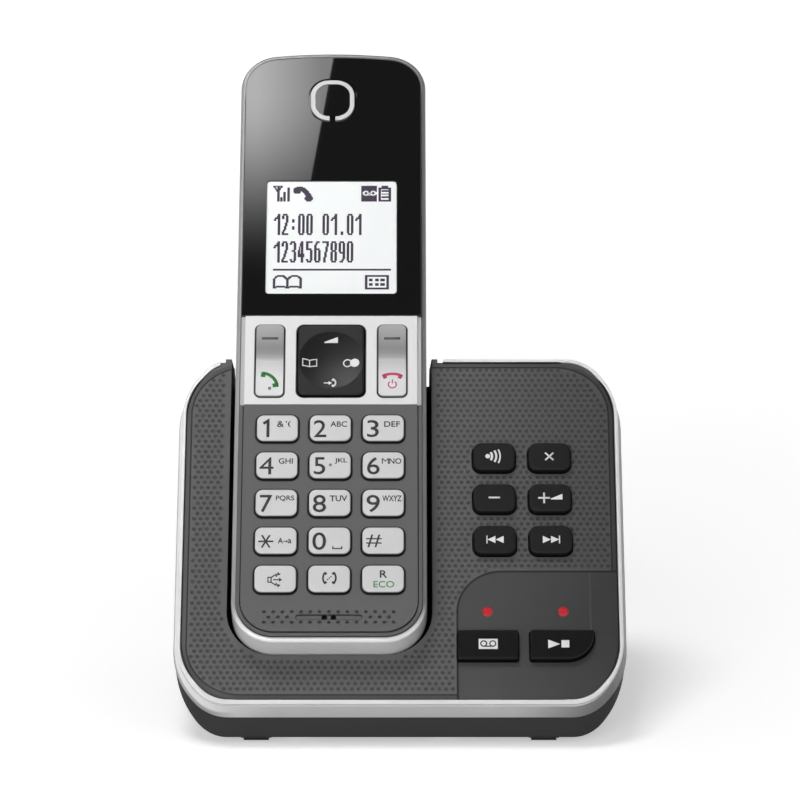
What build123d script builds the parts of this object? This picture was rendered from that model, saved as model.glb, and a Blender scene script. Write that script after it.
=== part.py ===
from build123d import *

import os
from math import cos, radians, sin, sqrt

# Answering machine: a wedge-shaped base with a cordless handset standing in its cradle.
# Millimetres. The origin is on the table under the middle of the whole machine; +X is to the
# right, +Y to the back and +Z up. The sloping face has a frame of its own: u to the right, v up
# the slope from the front edge, and a height above the face, negative inside the object.

# ---- the sloping face
face_slope = 48.6
front_edge_y = -64.6
front_edge_z = 11.6
base_half_width = 54.9
base_length = 95.0
corner_across = 13.0
corner_along = 17.0

# ---- trim ring: bevelled bead, groove, and a band that flares towards the table
bead_width = 1.05
bead_bevel = 0.3
bead_height = 0.45
trim_groove_depth = 0.45
trim_groove_height = 1.4
trim_depth = 6.3
trim_flare = 1.0
trim_inner_width = 2.3

# ---- top cover and its inlaid control panel
cover_gap = 0.25
cover_sink = 0.35
cover_thickness = 2.0
panel_thickness = 1.1
panel_gap = 0.12
panel_left = 14.1
panel_top = 35.6
panel_corner = 11.0

# ---- lower housing
housing_margin = 0.5
housing_wall = 2.0
floor_height = 1.5
rear_setback = 16.575
lower_corner_across = 13.0
lower_corner_up = 17.0
rear_corner_radius = 5.0

# ---- handset
handset_center = -17.35
handset_half_width = 24.0
handset_low = 13.4
handset_high = 181.85
handset_front = 8.0
handset_back = -16.0
crown_radius = 150.0
top_corner_radius = 10.0
bottom_corner_radius = 10.5
back_edge_radius = 6.0
back_wall = 1.6
split_height = -1.5
frame_top = 7.0
frame_width = 1.2
frame_edge_radius = 0.9
margin_top = 7.6
margin_width = 0.8
plate_groove = 0.3
plate_thickness = 1.8
skirt_wall = 1.2

# ---- cradle
well_side_gap = 1.35
well_end_gap = 0.5
rim_wall = 1.5
notch_width = 1.35
notch_drop = 1.0
insert_side_gap = 0.8
insert_end_gap = 0.3
insert_back_gap = 0.3
insert_wall = 1.6
insert_floor = 1.8

# ---- display, silver plate and earpiece
window_low = 103.0
window_inset = 1.2
window_drop = 0.9
window_top = 8.2
window_gap = 0.1
lcd_center = (-17.5, 125.9)
lcd_width = 33.4
lcd_height = 33.2
lcd_radius = 0.8
lcd_sink = 0.3
lcd_gap = 0.15
lcd_body_border = 1.5
silver_low = 77.8
silver_top = 8.1
silver_step_width = 1.1
ring_center = (-17.5, 166.6)
ring_width = 11.4
ring_height = 12.2
ring_radius = 4.8
ring_band = 1.2
ring_groove = 0.5
ring_depth = 0.7
ring_proud = 0.15
ring_opening = 0.75
receiver_radius = 6.2
receiver_depth = 3.0

# ---- handset keys
key_width = 10.9
key_height = 7.85
key_radius = 2.1
key_gap = 0.3
key_edge = 0.4
key_top = 8.85
key_travel = 0.5
key_pitch_across = 13.2
key_pitch_along = 10.35
key_row_top = 70.8
key_flange_width = 0.6
key_flange_thickness = 0.8
key_play = 0.1
call_key_width = 7.5
call_key_height = 20.6
call_key_radius = 1.5
call_key_offset = 15.4
call_key_top = 8.7
call_key_valley = 0.55
nav_low = 79.7
nav_width = 17.4
nav_height = 20.6
nav_radius = 1.9
nav_top = 8.8
nav_dish_radius = 8.1
nav_dish_depth = 0.7
nav_gap = 0.45
nav_flange_width = 0.5
nav_bottom = 4.7
nav_flange_top = 5.15
nav_pad_radius = 2.0
nav_pad_gap = 0.15
key_dome_radius = 2.6
key_dome_height = 0.4

# ---- microphone grille
mic_center = (-17.35, 19.4)
mic_dot_radius = 0.46
mic_dot_depth = 0.5
mic_pitch_across = 2.26
mic_pitch_along = 1.39
mic_dots = 15
mic_slot_width = 16.2
mic_slot_height = 1.3
mic_slot_depth = 0.3
mic_port_radius = 0.7
mic_port_spacing = 2.2
mic_body_radius = 2.4

# ---- inside the handset
board_top = 2.8
board_thickness = 1.2
board_inset = 3.4
mat_thickness = 0.8
mat_low = 23.0
mat_inset = 4.5
loudspeaker_v = 150.0
loudspeaker_radius = 10.0
loudspeaker_depth = 5.0
loudspeaker_hole_radius = 0.8
loudspeaker_hole_pitch = 3.0
post_radius = 2.0
post_inset = 5.8
post_low = 25.0
post_high = 168.0

# ---- battery bay
cell_radius = 5.1
cell_length = 44.0
cell_gap = 0.15
cell_low = 28.5
contact_thickness = 1.0
contact_size = 7.0
bay_wall = 1.2
battery_cover_thickness = 1.4
battery_cover_half_width = 15.0
battery_cover_low = 25.6
battery_cover_high = 84.0
battery_cover_gap = 0.15
battery_cover_seat_gap = 0.1
battery_cover_travel = 5.0
battery_cover_ribs = 5
battery_cover_rib_pitch = 1.6
recess_frame = 1.5
handset_screw_spacing = 13.2
handset_screw_v = 77.15
handset_boss_radius = 1.7
handset_screw_radius = 0.85
handset_screw_length = 17.5
handset_head_radius = 1.7
handset_head_height = 1.3
hole_clearance = 0.25
pilot_clearance = 0.05

# ---- charge contacts
contact_spacing = 16.0
handset_contact_width = 5.0
handset_contact_high = -4.8
handset_contact_low = -9.8
handset_contact_thickness = 0.8
spring_height = -9.3
spring_width = 3.2
spring_thickness = 2.6
spring_gap = 0.1
spring_tail = 1.4

# ---- base keys
soft_key_width = 10.6
soft_key_height = 7.65
soft_key_radius = 2.2
soft_key_top = 1.5
soft_key_edge = 0.55
soft_key_inset = 17.53
soft_key_first = 66.6
soft_key_pitch_across = 13.87
soft_key_pitch_along = 11.5
panel_key_v = 15.2
panel_key_height = 7.76
panel_key_top = 1.45
panel_key_edge = 0.35
panel_key_radius = 0.5
answer_key_u = 21.56
answer_key_width = 14.78
play_key_u = 39.76
play_key_width = 15.7
play_key_corner = 6.6
base_key_gap = 0.3
base_key_travel = 0.7
base_key_flange_width = 0.8
base_key_flange_thickness = 1.0

# ---- lamps
lamp_places = ((21.55, 24.7), (40.2, 24.7))
lamp_radius = 1.3
lamp_gap = 0.05
lamp_dome = 0.3
lamp_flange_radius = 2.0
lamp_flange_thickness = 0.8

# ---- inside the base
base_board_depth = 8.0
base_board_thickness = 1.2
base_board_left = 11.2
base_board_side_inset = 10.5
base_board_low = 11.0
base_board_high = 80.0
base_mat_thickness = 0.8
base_mat_border = 1.4
base_mat_high = 73.0
base_mat_hole_gap = 0.5
left_post_insets = ((3.3, 76.0), (3.3, 30.0))
right_post_insets = ((2.4, 76.0), (2.0, 31.5))
board_post_radius = 2.0
speaker_side_inset = 26.4
speaker_y = -18.6
speaker_radius = 11.8
speaker_height = 7.0
speaker_magnet_radius = 7.0
speaker_magnet_height = 2.5
speaker_slot_width = 1.6
speaker_slot_pitch = 3.6
speaker_slots = 5

# ---- fasteners of the base
boss_radius = 2.3
screw_radius = 1.2
screw_length = 12.0
screw_head_radius = 2.3
screw_head_height = 1.7
screw_seat = 2.2
screw_pad_radius = 3.8
screw_pad_height = 2.0
floor_screw_left = -25.0
floor_screw_right = 10.9
floor_screw_inset = 9.0
rear_screw_inset = 7.3
rear_screw_drop = 28.86

# ---- sockets in the rear wall
line_jack_x = 22.0
line_jack_width = 13.0
line_jack_depth = 12.0
line_jack_height = 13.0
line_socket_width = 9.8
line_socket_height = 6.8
line_socket_depth = 10.0
line_socket_z = 10.2
line_key_width = 4.0
line_key_height = 1.6
dc_jack_x = 36.0
dc_jack_width = 9.5
dc_jack_depth = 11.5
dc_jack_height = 10.5
dc_inlet_radius = 3.4
dc_inlet_z = 9.0
dc_bore_radius = 2.8
dc_bore_depth = 9.0
dc_pin_radius = 0.95
dc_pin_length = 6.5
socket_relief = 0.6

# ---- feet
foot_side_inset = 19.6
foot_front_inset = 10.0
foot_rear_inset = 6.9
foot_width = 7.4
foot_length = 8.0
foot_pad_step = 0.6
foot_pad_height = 0.8
foot_plug_height = 1.0
foot_plug_step = 1.0

# ---- worked out from the sizes above
slope = radians(face_slope)
outward = Vector(0, -sin(slope), cos(slope))
face = Plane(origin=(0, front_edge_y, front_edge_z), x_dir=(1, 0, 0), z_dir=outward)
outward_axis = Axis(face.origin, outward)
cover_bottom = -(cover_sink + cover_thickness)
insert_face = handset_back - insert_back_gap
insert_bottom = insert_face - insert_floor
insert_end = base_length + housing_margin
plate_bottom = handset_front - plate_thickness
board_bottom = board_top - board_thickness
mat_top = board_top + mat_thickness
key_bottom = mat_top + key_dome_height + key_travel + key_play
base_board_top = -base_board_depth
base_board_bottom = base_board_top - base_board_thickness
base_mat_top = base_board_top + base_mat_thickness
base_key_bottom = base_mat_top + key_dome_height + base_key_travel + key_play
floor_top = floor_height + housing_wall
rear_wall_y = front_edge_y + base_length * cos(slope) + rear_setback
rear_inner_y = rear_wall_y - housing_wall
rear_screw_x = base_half_width - rear_screw_inset
rear_screw_z = front_edge_z + base_length * sin(slope) - rear_screw_drop
floor_screw_y = front_edge_y + floor_screw_inset
floor_screw_places = ((floor_screw_left, floor_screw_y), (floor_screw_right, floor_screw_y))
foot_x = base_half_width - foot_side_inset
foot_front_y = front_edge_y + foot_front_inset
foot_rear_y = rear_wall_y - foot_rear_inset
soft_key_left = base_half_width - soft_key_inset - soft_key_pitch_across
base_board_right = base_half_width - base_board_side_inset
board_post_places = [(base_board_left + inset, v) for inset, v in left_post_insets]
board_post_places += [(base_board_right - inset, v) for inset, v in right_post_insets]
speaker_place = (base_half_width - speaker_side_inset, speaker_y)
nav_center_v = nav_low + nav_height / 2
recess_floor = handset_back + battery_cover_thickness + battery_cover_seat_gap
cell_height = recess_floor + cell_gap + cell_radius
bay_floor = cell_height + cell_radius + cell_gap
bay_half_width = 2 * cell_radius + 2 * cell_gap
bay_low = cell_low - contact_thickness
bay_high = cell_low + cell_length + contact_thickness
far = 200.0

os.makedirs("parts", exist_ok=True)


def level(height):
    """Plane parallel to the sloping face, at a height above it."""
    return face.offset(height)


def world_y(v, height):
    return front_edge_y + v * cos(slope) - height * sin(slope)


def world_z(v, height):
    return front_edge_z + v * sin(slope) + height * cos(slope)


def level_z(y, height):
    """World Z of a level plane over a world Y."""
    return world_z((y - front_edge_y + height * sin(slope)) / cos(slope), height)


# ---- outlines
turn_far = sin(radians(45))
turn_near = 1 - cos(radians(45))


def corner_radii(across, along):
    """Radii of a corner made of two arcs of 45 degrees: crosswise end first."""
    spread = turn_far**2 - turn_near**2
    crosswise = (turn_far * across - turn_near * along) / spread
    lengthwise = (turn_far * along - turn_near * across) / spread
    return crosswise, lengthwise


def grown(radii, amount):
    return radii[0] + amount, radii[1] + amount


def rounded_outline(half_width, low, high, low_radii, high_radii, mode=Mode.ADD):
    """Closed outline about the v axis, each corner two arcs of 45 degrees."""
    low_across = turn_far * low_radii[0] + turn_near * low_radii[1]
    low_along = turn_near * low_radii[0] + turn_far * low_radii[1]
    high_across = turn_far * high_radii[0] + turn_near * high_radii[1]
    high_along = turn_near * high_radii[0] + turn_far * high_radii[1]
    side = high - low - low_along - high_along
    with BuildLine() as edge:
        run = Line((-half_width + low_across, low), (half_width - low_across, low))
        for first, second, straight in (
            (low_radii[0], low_radii[1], side),
            (high_radii[1], high_radii[0], 2 * (half_width - high_across)),
            (high_radii[0], high_radii[1], side),
            (low_radii[1], low_radii[0], 0),
        ):
            turn = JernArc(run @ 1, run % 1, first, 45)
            turn = JernArc(turn @ 1, turn % 1, second, 45)
            if straight:
                run = Line(turn @ 1, turn @ 1 + straight * (turn % 1))
    make_face(edge.edges(), mode=mode)


face_corner = corner_radii(corner_across, corner_along)


def base_outline(grow, mode=Mode.ADD):
    corner = grown(face_corner, grow)
    rounded_outline(base_half_width + grow, -grow, base_length + grow, corner, corner, mode)


def panel_outline(grow):
    """Inlaid panel: straight left and top edges, and the cover's edge elsewhere."""
    with Locations((panel_left - grow, panel_top + grow)):
        Rectangle(base_half_width, base_length, align=(Align.MIN, Align.MAX))
    corner = vertices().sort_by_distance((panel_left - grow, panel_top + grow))[0]
    fillet(corner, panel_corner + grow)
    base_outline(-(bead_width + cover_gap), Mode.INTERSECT)


def handset_outline(grow, drop=0):
    """Outline of the handset: straight sides, crowned top and large bottom corners."""
    half = handset_half_width + grow
    crown = crown_radius + grow
    top = handset_high + grow - drop
    shoulder = top - crown + sqrt(crown**2 - half**2)
    left, right = handset_center - half, handset_center + half
    bottom = handset_low - grow
    with BuildLine() as edge:
        Polyline((left, shoulder), (left, bottom), (right, bottom), (right, shoulder))
        ThreePointArc((right, shoulder), (handset_center, top), (left, shoulder))
    make_face(edge.edges())
    fillet(vertices().group_by(Axis.Y)[0], bottom_corner_radius + grow)
    fillet(vertices().group_by(Axis.Y)[-1], top_corner_radius + grow)


def well_outline(side_gap, end_gap, end):
    """Cradle seen from above: the handset's sides and bottom with a gap, open up the slope."""
    half = handset_half_width + side_gap
    bottom = handset_low - end_gap
    with Locations((handset_center, bottom)):
        Rectangle(2 * half, end - bottom, align=(Align.CENTER, Align.MIN))
    fillet(vertices().group_by(Axis.Y)[0], bottom_corner_radius + side_gap)


def band(low, high, mode):
    """Full-width strip of the handset between two places up the slope."""
    with Locations((handset_center, low)):
        Rectangle(4 * handset_half_width, high - low, align=(Align.CENTER, Align.MIN), mode=mode)


# ---- key places
soft_key_places = {
    name: (soft_key_left + column * soft_key_pitch_across, soft_key_first - row * soft_key_pitch_along)
    for row, pair in enumerate((("locator_key", "erase_key"),
                                ("volume_down_key", "volume_up_key"),
                                ("previous_key", "next_key")))
    for column, name in enumerate(pair)
}
key_rows = (
    ("key_1", "key_2", "key_3"),
    ("key_4", "key_5", "key_6"),
    ("key_7", "key_8", "key_9"),
    ("key_star", "key_0", "key_hash"),
    ("key_speaker", "key_intercom", "key_recall"),
)
key_places = {
    name: (handset_center + (column - 1) * key_pitch_across, key_row_top - row * key_pitch_along)
    for row, names in enumerate(key_rows)
    for column, name in enumerate(names)
}
call_key_places = {
    "talk_key": (handset_center - call_key_offset, nav_center_v),
    "off_key": (handset_center + call_key_offset, nav_center_v),
}
nav_place = (handset_center, nav_center_v)
screw_places = [(handset_center + side * handset_screw_spacing / 2, handset_screw_v) for side in (-1, 1)]
contact_places = [handset_center + side * contact_spacing / 2 for side in (-1, 1)]
cell_places = [handset_center + side * (cell_radius + cell_gap / 2) for side in (-1, 1)]


def panel_key_outline(name, grow):
    """Large keys of the control panel; the play key follows the panel's rounded corner."""
    place, width = (answer_key_u, answer_key_width) if name == "answer_on_key" else (play_key_u, play_key_width)
    with Locations((place, panel_key_v)):
        Rectangle(width + 2 * grow, panel_key_height + 2 * grow)
    corners = vertices()
    if name == "play_stop_key":
        swept = corners.sort_by_distance((base_half_width, 0))[0]
        corners = ShapeList(corner for corner in corners if corner != swept)
        fillet(corners, panel_key_radius + grow)
        fillet(vertices().sort_by_distance((base_half_width, 0))[0], play_key_corner + grow)
    else:
        fillet(corners, panel_key_radius + grow)


# ---- trim ring
trim_steps = (
    (0, -bead_bevel, -bead_bevel, 0),
    (-bead_bevel, 0, -bead_height, 0),
    (-bead_height, -trim_groove_depth, -(bead_height + trim_groove_height), -trim_groove_depth),
    (-(bead_height + trim_groove_height), 0, -trim_depth, trim_flare),
)
trim_gap = 2 * (handset_half_width + well_side_gap + rim_wall + notch_width)

with BuildPart() as trim_ring:
    for upper, upper_grow, lower, lower_grow in trim_steps:
        with BuildSketch(level(upper)):
            base_outline(upper_grow)
        with BuildSketch(level(lower)):
            base_outline(lower_grow)
        loft(ruled=True)
    with BuildSketch(level(0)):
        base_outline(-bead_width)
    extrude(amount=cover_bottom, mode=Mode.SUBTRACT)
    with BuildSketch(level(0)):
        base_outline(-trim_inner_width)
    extrude(amount=-trim_depth, mode=Mode.SUBTRACT)
    with BuildSketch(level(0)):
        with Locations((handset_center, base_length)):
            Rectangle(trim_gap, 4 * trim_inner_width)
    extrude(amount=-trim_depth, mode=Mode.SUBTRACT)
trim_ring.part.label = "trim_ring"
export_step(trim_ring.part, "parts/trim_ring.step")

# ---- top cover, with the rim of the cradle, posts for the board and bosses for the screws
with BuildPart() as cover_bosses:
    with BuildSketch(Plane.XY.offset(floor_top + screw_pad_height)):
        with Locations(*floor_screw_places):
            Circle(boss_radius)
    extrude(amount=far)
    with BuildSketch(Plane.XZ.offset(-(rear_inner_y - screw_pad_height))):
        with Locations((-rear_screw_x, rear_screw_z), (rear_screw_x, rear_screw_z)):
            Circle(boss_radius)
    extrude(amount=far)
    split(bisect_by=level(cover_bottom), keep=Keep.BOTTOM)
    with BuildSketch(Plane.XY.offset(floor_top)):
        with Locations(*floor_screw_places):
            Circle(screw_radius + pilot_clearance)
    extrude(amount=screw_length, mode=Mode.SUBTRACT)
    with BuildSketch(Plane.XZ.offset(-rear_inner_y)):
        with Locations((-rear_screw_x, rear_screw_z), (rear_screw_x, rear_screw_z)):
            Circle(screw_radius + pilot_clearance)
    extrude(amount=screw_length, mode=Mode.SUBTRACT)

with BuildPart() as base_top_cover:
    with BuildSketch(level(-cover_sink)):
        base_outline(-(bead_width + cover_gap))
    extrude(amount=-cover_thickness)
    with BuildSketch(level(-cover_sink)):
        with Locations((handset_center, base_length - notch_drop)):
            Rectangle(trim_gap, trim_inner_width - notch_drop, align=(Align.CENTER, Align.MAX))
        well_outline(well_side_gap + rim_wall, well_end_gap + rim_wall, base_length)
    extrude(amount=cover_sink - trim_depth)
    with BuildSketch(level(cover_bottom)):
        with Locations(*board_post_places):
            Circle(board_post_radius)
    extrude(amount=base_board_top - cover_bottom)
    add(cover_bosses.part)
    with BuildSketch(level(-cover_sink)):
        well_outline(well_side_gap, well_end_gap, base_length + trim_flare)
    with BuildSketch(level(-trim_depth)):
        well_outline(insert_side_gap, insert_end_gap, base_length + trim_flare)
    loft(ruled=True, mode=Mode.SUBTRACT)
    with BuildSketch(level(-cover_sink)):
        panel_outline(panel_gap)
    extrude(amount=-panel_thickness, mode=Mode.SUBTRACT)
    with BuildSketch(level(-cover_sink)):
        with Locations(*soft_key_places.values()):
            RectangleRounded(soft_key_width + 2 * base_key_gap, soft_key_height + 2 * base_key_gap,
                             soft_key_radius + base_key_gap)
        with Locations(*lamp_places):
            Circle(lamp_radius + lamp_gap)
    extrude(amount=-cover_thickness, mode=Mode.SUBTRACT)
    for name in ("answer_on_key", "play_stop_key"):
        with BuildSketch(level(-cover_sink)):
            panel_key_outline(name, base_key_gap)
        extrude(amount=-cover_thickness, mode=Mode.SUBTRACT)
base_top_cover.part.label = "base_top_cover"
export_step(base_top_cover.part, "parts/base_top_cover.step")

with BuildPart() as control_panel:
    with BuildSketch(level(-cover_sink)):
        panel_outline(0)
    extrude(amount=-panel_thickness)
    with BuildSketch(level(-cover_sink)):
        with Locations(*lamp_places):
            Circle(lamp_radius + lamp_gap)
    extrude(amount=-panel_thickness, mode=Mode.SUBTRACT)
    for name in ("answer_on_key", "play_stop_key"):
        with BuildSketch(level(-cover_sink)):
            panel_key_outline(name, base_key_gap)
        extrude(amount=-panel_thickness, mode=Mode.SUBTRACT)
control_panel.part.label = "control_panel"
export_step(control_panel.part, "parts/control_panel.step")

# ---- tray of the cradle
with BuildPart() as cradle_insert:
    with BuildSketch(level(-trim_depth)):
        well_outline(insert_side_gap + insert_wall, insert_end_gap + insert_wall, insert_end)
    extrude(amount=insert_bottom + trim_depth)
    with BuildSketch(level(-trim_depth)):
        well_outline(insert_side_gap, insert_end_gap, insert_end + trim_flare)
    extrude(amount=insert_face + trim_depth, mode=Mode.SUBTRACT)
    with BuildSketch(level(spring_height)):
        with Locations(*[(u, handset_low) for u in contact_places]):
            Rectangle(spring_width, far / 10)
    extrude(amount=spring_thickness, mode=Mode.SUBTRACT)
cradle_insert.part.label = "cradle_insert"
export_step(cradle_insert.part, "parts/cradle_insert.step")


# ---- lower housing
def housing_body(inset, top):
    """Body of the lower housing, every wall moved in by inset and cut off at the level top."""
    half = base_half_width + housing_margin - inset
    end = base_length + housing_margin - inset
    front = world_y(-housing_margin, -trim_depth) + inset
    back = rear_wall_y - inset
    bottom = floor_height + inset
    end_height = (world_y(end, 0) - back) / sin(slope)
    with BuildPart() as body:
        with BuildSketch(Plane.YZ):
            with BuildLine():
                Polyline((front, bottom), (front, level_z(front, top)), (world_y(end, top), world_z(end, top)),
                         (back, world_z(end, end_height)), (back, bottom), close=True)
            make_face()
        extrude(amount=half, both=True)
        with BuildSketch(level(top)):
            rounded_outline(half, -base_length, end, (1, 1), grown(face_corner, housing_margin - inset))
        extrude(amount=-far, mode=Mode.INTERSECT)
        with BuildSketch(Plane.XY):
            front_corner = corner_radii(corner_across, corner_along * cos(slope))
            rear_corner = (rear_corner_radius, rear_corner_radius)
            rounded_outline(half, front, back, grown(front_corner, -inset), grown(rear_corner, -inset))
        extrude(amount=far, mode=Mode.INTERSECT)
        with BuildSketch(Plane.XZ):
            lower_corner = corner_radii(lower_corner_across, lower_corner_up)
            rounded_outline(half, bottom, far, grown(lower_corner, -inset), (1, 1))
        extrude(amount=far, both=True, mode=Mode.INTERSECT)
    return body.part


with BuildPart() as housing_posts:
    with BuildSketch(level(base_board_bottom)):
        with Locations(*board_post_places):
            Circle(board_post_radius)
    extrude(amount=-far)
    add(housing_body(housing_wall / 2, base_board_bottom), mode=Mode.INTERSECT)

insert_half_width = handset_half_width + insert_side_gap + insert_wall
with BuildPart() as base_lower_housing:
    add(housing_body(0, -trim_depth))
    add(housing_body(housing_wall, 0), mode=Mode.SUBTRACT)
    add(housing_posts.part)
    with BuildSketch(level(-trim_depth)):
        with Locations((handset_center, base_length)):
            Rectangle(2 * insert_half_width, 4 * housing_wall)
    extrude(amount=insert_bottom + trim_depth, mode=Mode.SUBTRACT)
    with BuildSketch(Plane.XY.offset(floor_top)):
        with Locations(*floor_screw_places):
            Circle(screw_pad_radius)
    extrude(amount=screw_pad_height)
    with BuildSketch(Plane.XZ.offset(-rear_inner_y)):
        with Locations((-rear_screw_x, rear_screw_z), (rear_screw_x, rear_screw_z)):
            Circle(screw_pad_radius)
    extrude(amount=screw_pad_height)
    with Locations(*[Location((x, y, floor_height), (180, 0, 0)) for x, y in floor_screw_places]):
        CounterBoreHole(screw_radius + hole_clearance, screw_head_radius + hole_clearance, screw_seat,
                        housing_wall + screw_pad_height)
    with Locations(*[Location((x, rear_wall_y, rear_screw_z), (-90, 0, 0)) for x in (-rear_screw_x, rear_screw_x)]):
        CounterBoreHole(screw_radius + hole_clearance, screw_head_radius + hole_clearance, screw_seat,
                        housing_wall + screw_pad_height)
    with BuildSketch(Plane.XZ.offset(-rear_wall_y)):
        with Locations((line_jack_x, line_socket_z)):
            Rectangle(line_socket_width + socket_relief, line_socket_height + socket_relief)
        with Locations((dc_jack_x, dc_inlet_z)):
            Circle(dc_inlet_radius)
    extrude(amount=housing_wall, mode=Mode.SUBTRACT)
    with BuildSketch(Plane.XY.offset(floor_height)):
        with Locations(speaker_place):
            with GridLocations(speaker_slot_pitch, 1, speaker_slots, 1):
                SlotOverall(speaker_radius, speaker_slot_width, rotation=90)
    extrude(amount=housing_wall, mode=Mode.SUBTRACT)
    with BuildSketch(Plane.XY.offset(floor_height)):
        with Locations(*[(x, y) for x in (-foot_x, foot_x) for y in (foot_front_y, foot_rear_y)]):
            Rectangle(foot_width - 2 * foot_plug_step, foot_length - 2 * foot_plug_step)
    extrude(amount=foot_plug_height, mode=Mode.SUBTRACT)
base_lower_housing.part.label = "base_lower_housing"
export_step(base_lower_housing.part, "parts/base_lower_housing.step")

with BuildPart() as rubber_feet:
    foot_steps = (
        (floor_height, foot_plug_height, foot_plug_step),
        (foot_pad_height, floor_height - foot_pad_height, 0),
        (0, foot_pad_height, foot_pad_step),
    )
    for bottom, height, step in foot_steps:
        with BuildSketch(Plane.XY.offset(bottom)):
            with Locations(*[(x, y) for x in (-foot_x, foot_x) for y in (foot_front_y, foot_rear_y)]):
                Rectangle(foot_width - 2 * step, foot_length - 2 * step)
        extrude(amount=height)
rubber_feet.part.label = "rubber_feet"
export_step(rubber_feet.part, "parts/rubber_feet.step")

screw_origins = [Plane((x, y, floor_height + screw_seat), z_dir=(0, 0, 1)) for x, y in floor_screw_places]
screw_origins += [Plane((x, rear_wall_y - screw_seat, rear_screw_z), z_dir=(0, -1, 0))
                  for x in (-rear_screw_x, rear_screw_x)]
with BuildPart() as base_screws:
    for seat in screw_origins:
        with BuildSketch(seat):
            Circle(screw_radius)
        extrude(amount=screw_length - screw_seat)
        with BuildSketch(seat):
            Circle(screw_head_radius)
        extrude(amount=-screw_head_height)
        with BuildSketch(seat.offset(-screw_head_height)):
            Rectangle(screw_head_radius, screw_radius / 2)
            Rectangle(screw_radius / 2, screw_head_radius)
        extrude(amount=screw_head_height / 2, mode=Mode.SUBTRACT)
base_screws.part.label = "base_screws"
export_step(base_screws.part, "parts/base_screws.step")

# ---- inside the base
with BuildPart() as base_circuit_board:
    with BuildSketch(level(base_board_top)):
        with Locations((base_board_left, base_board_low)):
            Rectangle(base_board_right - base_board_left, base_board_high - base_board_low,
                      align=(Align.MIN, Align.MIN))
    extrude(amount=-base_board_thickness)
base_circuit_board.part.label = "base_circuit_board"
export_step(base_circuit_board.part, "parts/base_circuit_board.step")

panel_key_places = [(answer_key_u, panel_key_v), (play_key_u, panel_key_v)]
with BuildPart() as base_key_mat:
    with BuildSketch(level(base_board_top)):
        with Locations((base_board_left + base_mat_border, base_board_low + base_mat_border)):
            Rectangle(base_board_right - base_board_left - base_mat_border,
                      base_mat_high - base_board_low - base_mat_border, align=(Align.MIN, Align.MIN))
        with Locations(*board_post_places):
            Circle(board_post_radius + base_mat_hole_gap, mode=Mode.SUBTRACT)
        with Locations(*lamp_places):
            Circle(lamp_radius + base_mat_hole_gap, mode=Mode.SUBTRACT)
    extrude(amount=base_mat_thickness)
    with BuildSketch(level(base_mat_top)):
        with Locations(*soft_key_places.values(), *panel_key_places):
            Circle(key_dome_radius)
    extrude(amount=key_dome_height)
base_key_mat.part.label = "base_key_mat"
export_step(base_key_mat.part, "parts/base_key_mat.step")

with BuildPart() as base_speaker:
    with BuildSketch(Plane.XY.offset(floor_top)):
        with Locations(speaker_place):
            Circle(speaker_radius)
    extrude(amount=speaker_height - speaker_magnet_height, taper=12)
    with BuildSketch(Plane.XY.offset(floor_top + speaker_height - speaker_magnet_height)):
        with Locations(speaker_place):
            Circle(speaker_magnet_radius)
    extrude(amount=speaker_magnet_height)
base_speaker.part.label = "base_speaker"
export_step(base_speaker.part, "parts/base_speaker.step")

for name, place in zip(("answer_lamp", "message_lamp"), lamp_places):
    with BuildPart() as lamp:
        with BuildSketch(level(base_board_top)):
            with Locations(place):
                Circle(lamp_radius)
        extrude(amount=lamp_dome - cover_sink - base_board_top)
        chamfer(lamp.faces().sort_by(outward_axis)[-1].edges(), lamp_dome)
        with BuildSketch(level(cover_bottom)):
            with Locations(place):
                Circle(lamp_flange_radius)
        extrude(amount=-lamp_flange_thickness)
    lamp.part.label = name
    export_step(lamp.part, f"parts/{name}.step")

with BuildPart() as base_charge_contacts:
    with BuildSketch(level(spring_height)):
        with Locations(*[(u, handset_low - spring_gap) for u in contact_places]):
            Rectangle(spring_width, insert_end_gap + insert_wall + spring_tail - spring_gap,
                      align=(Align.CENTER, Align.MAX))
    extrude(amount=spring_thickness)
base_charge_contacts.part.label = "base_charge_contacts"
export_step(base_charge_contacts.part, "parts/base_charge_contacts.step")

with BuildPart() as line_jack:
    with BuildSketch(Plane.XY.offset(floor_top)):
        with Locations((line_jack_x, rear_inner_y)):
            Rectangle(line_jack_width, line_jack_depth, align=(Align.CENTER, Align.MAX))
    extrude(amount=line_jack_height)
    with BuildSketch(Plane.XZ.offset(-rear_inner_y)):
        with Locations((line_jack_x, line_socket_z)):
            Rectangle(line_socket_width, line_socket_height)
        with Locations((line_jack_x, line_socket_z - line_socket_height / 2)):
            Rectangle(line_key_width, line_key_height)
    extrude(amount=line_socket_depth, mode=Mode.SUBTRACT)
line_jack.part.label = "line_jack"
export_step(line_jack.part, "parts/line_jack.step")

with BuildPart() as dc_jack:
    with BuildSketch(Plane.XY.offset(floor_top)):
        with Locations((dc_jack_x, rear_inner_y)):
            Rectangle(dc_jack_width, dc_jack_depth, align=(Align.CENTER, Align.MAX))
    extrude(amount=dc_jack_height)
    with BuildSketch(Plane.XZ.offset(-rear_inner_y)):
        with Locations((dc_jack_x, dc_inlet_z)):
            Circle(dc_bore_radius)
    extrude(amount=dc_bore_depth, mode=Mode.SUBTRACT)
    with BuildSketch(Plane.XZ.offset(-(rear_inner_y - dc_bore_depth))):
        with Locations((dc_jack_x, dc_inlet_z)):
            Circle(dc_pin_radius)
    extrude(amount=-dc_pin_length)
dc_jack.part.label = "dc_jack"
export_step(dc_jack.part, "parts/dc_jack.step")

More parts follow.
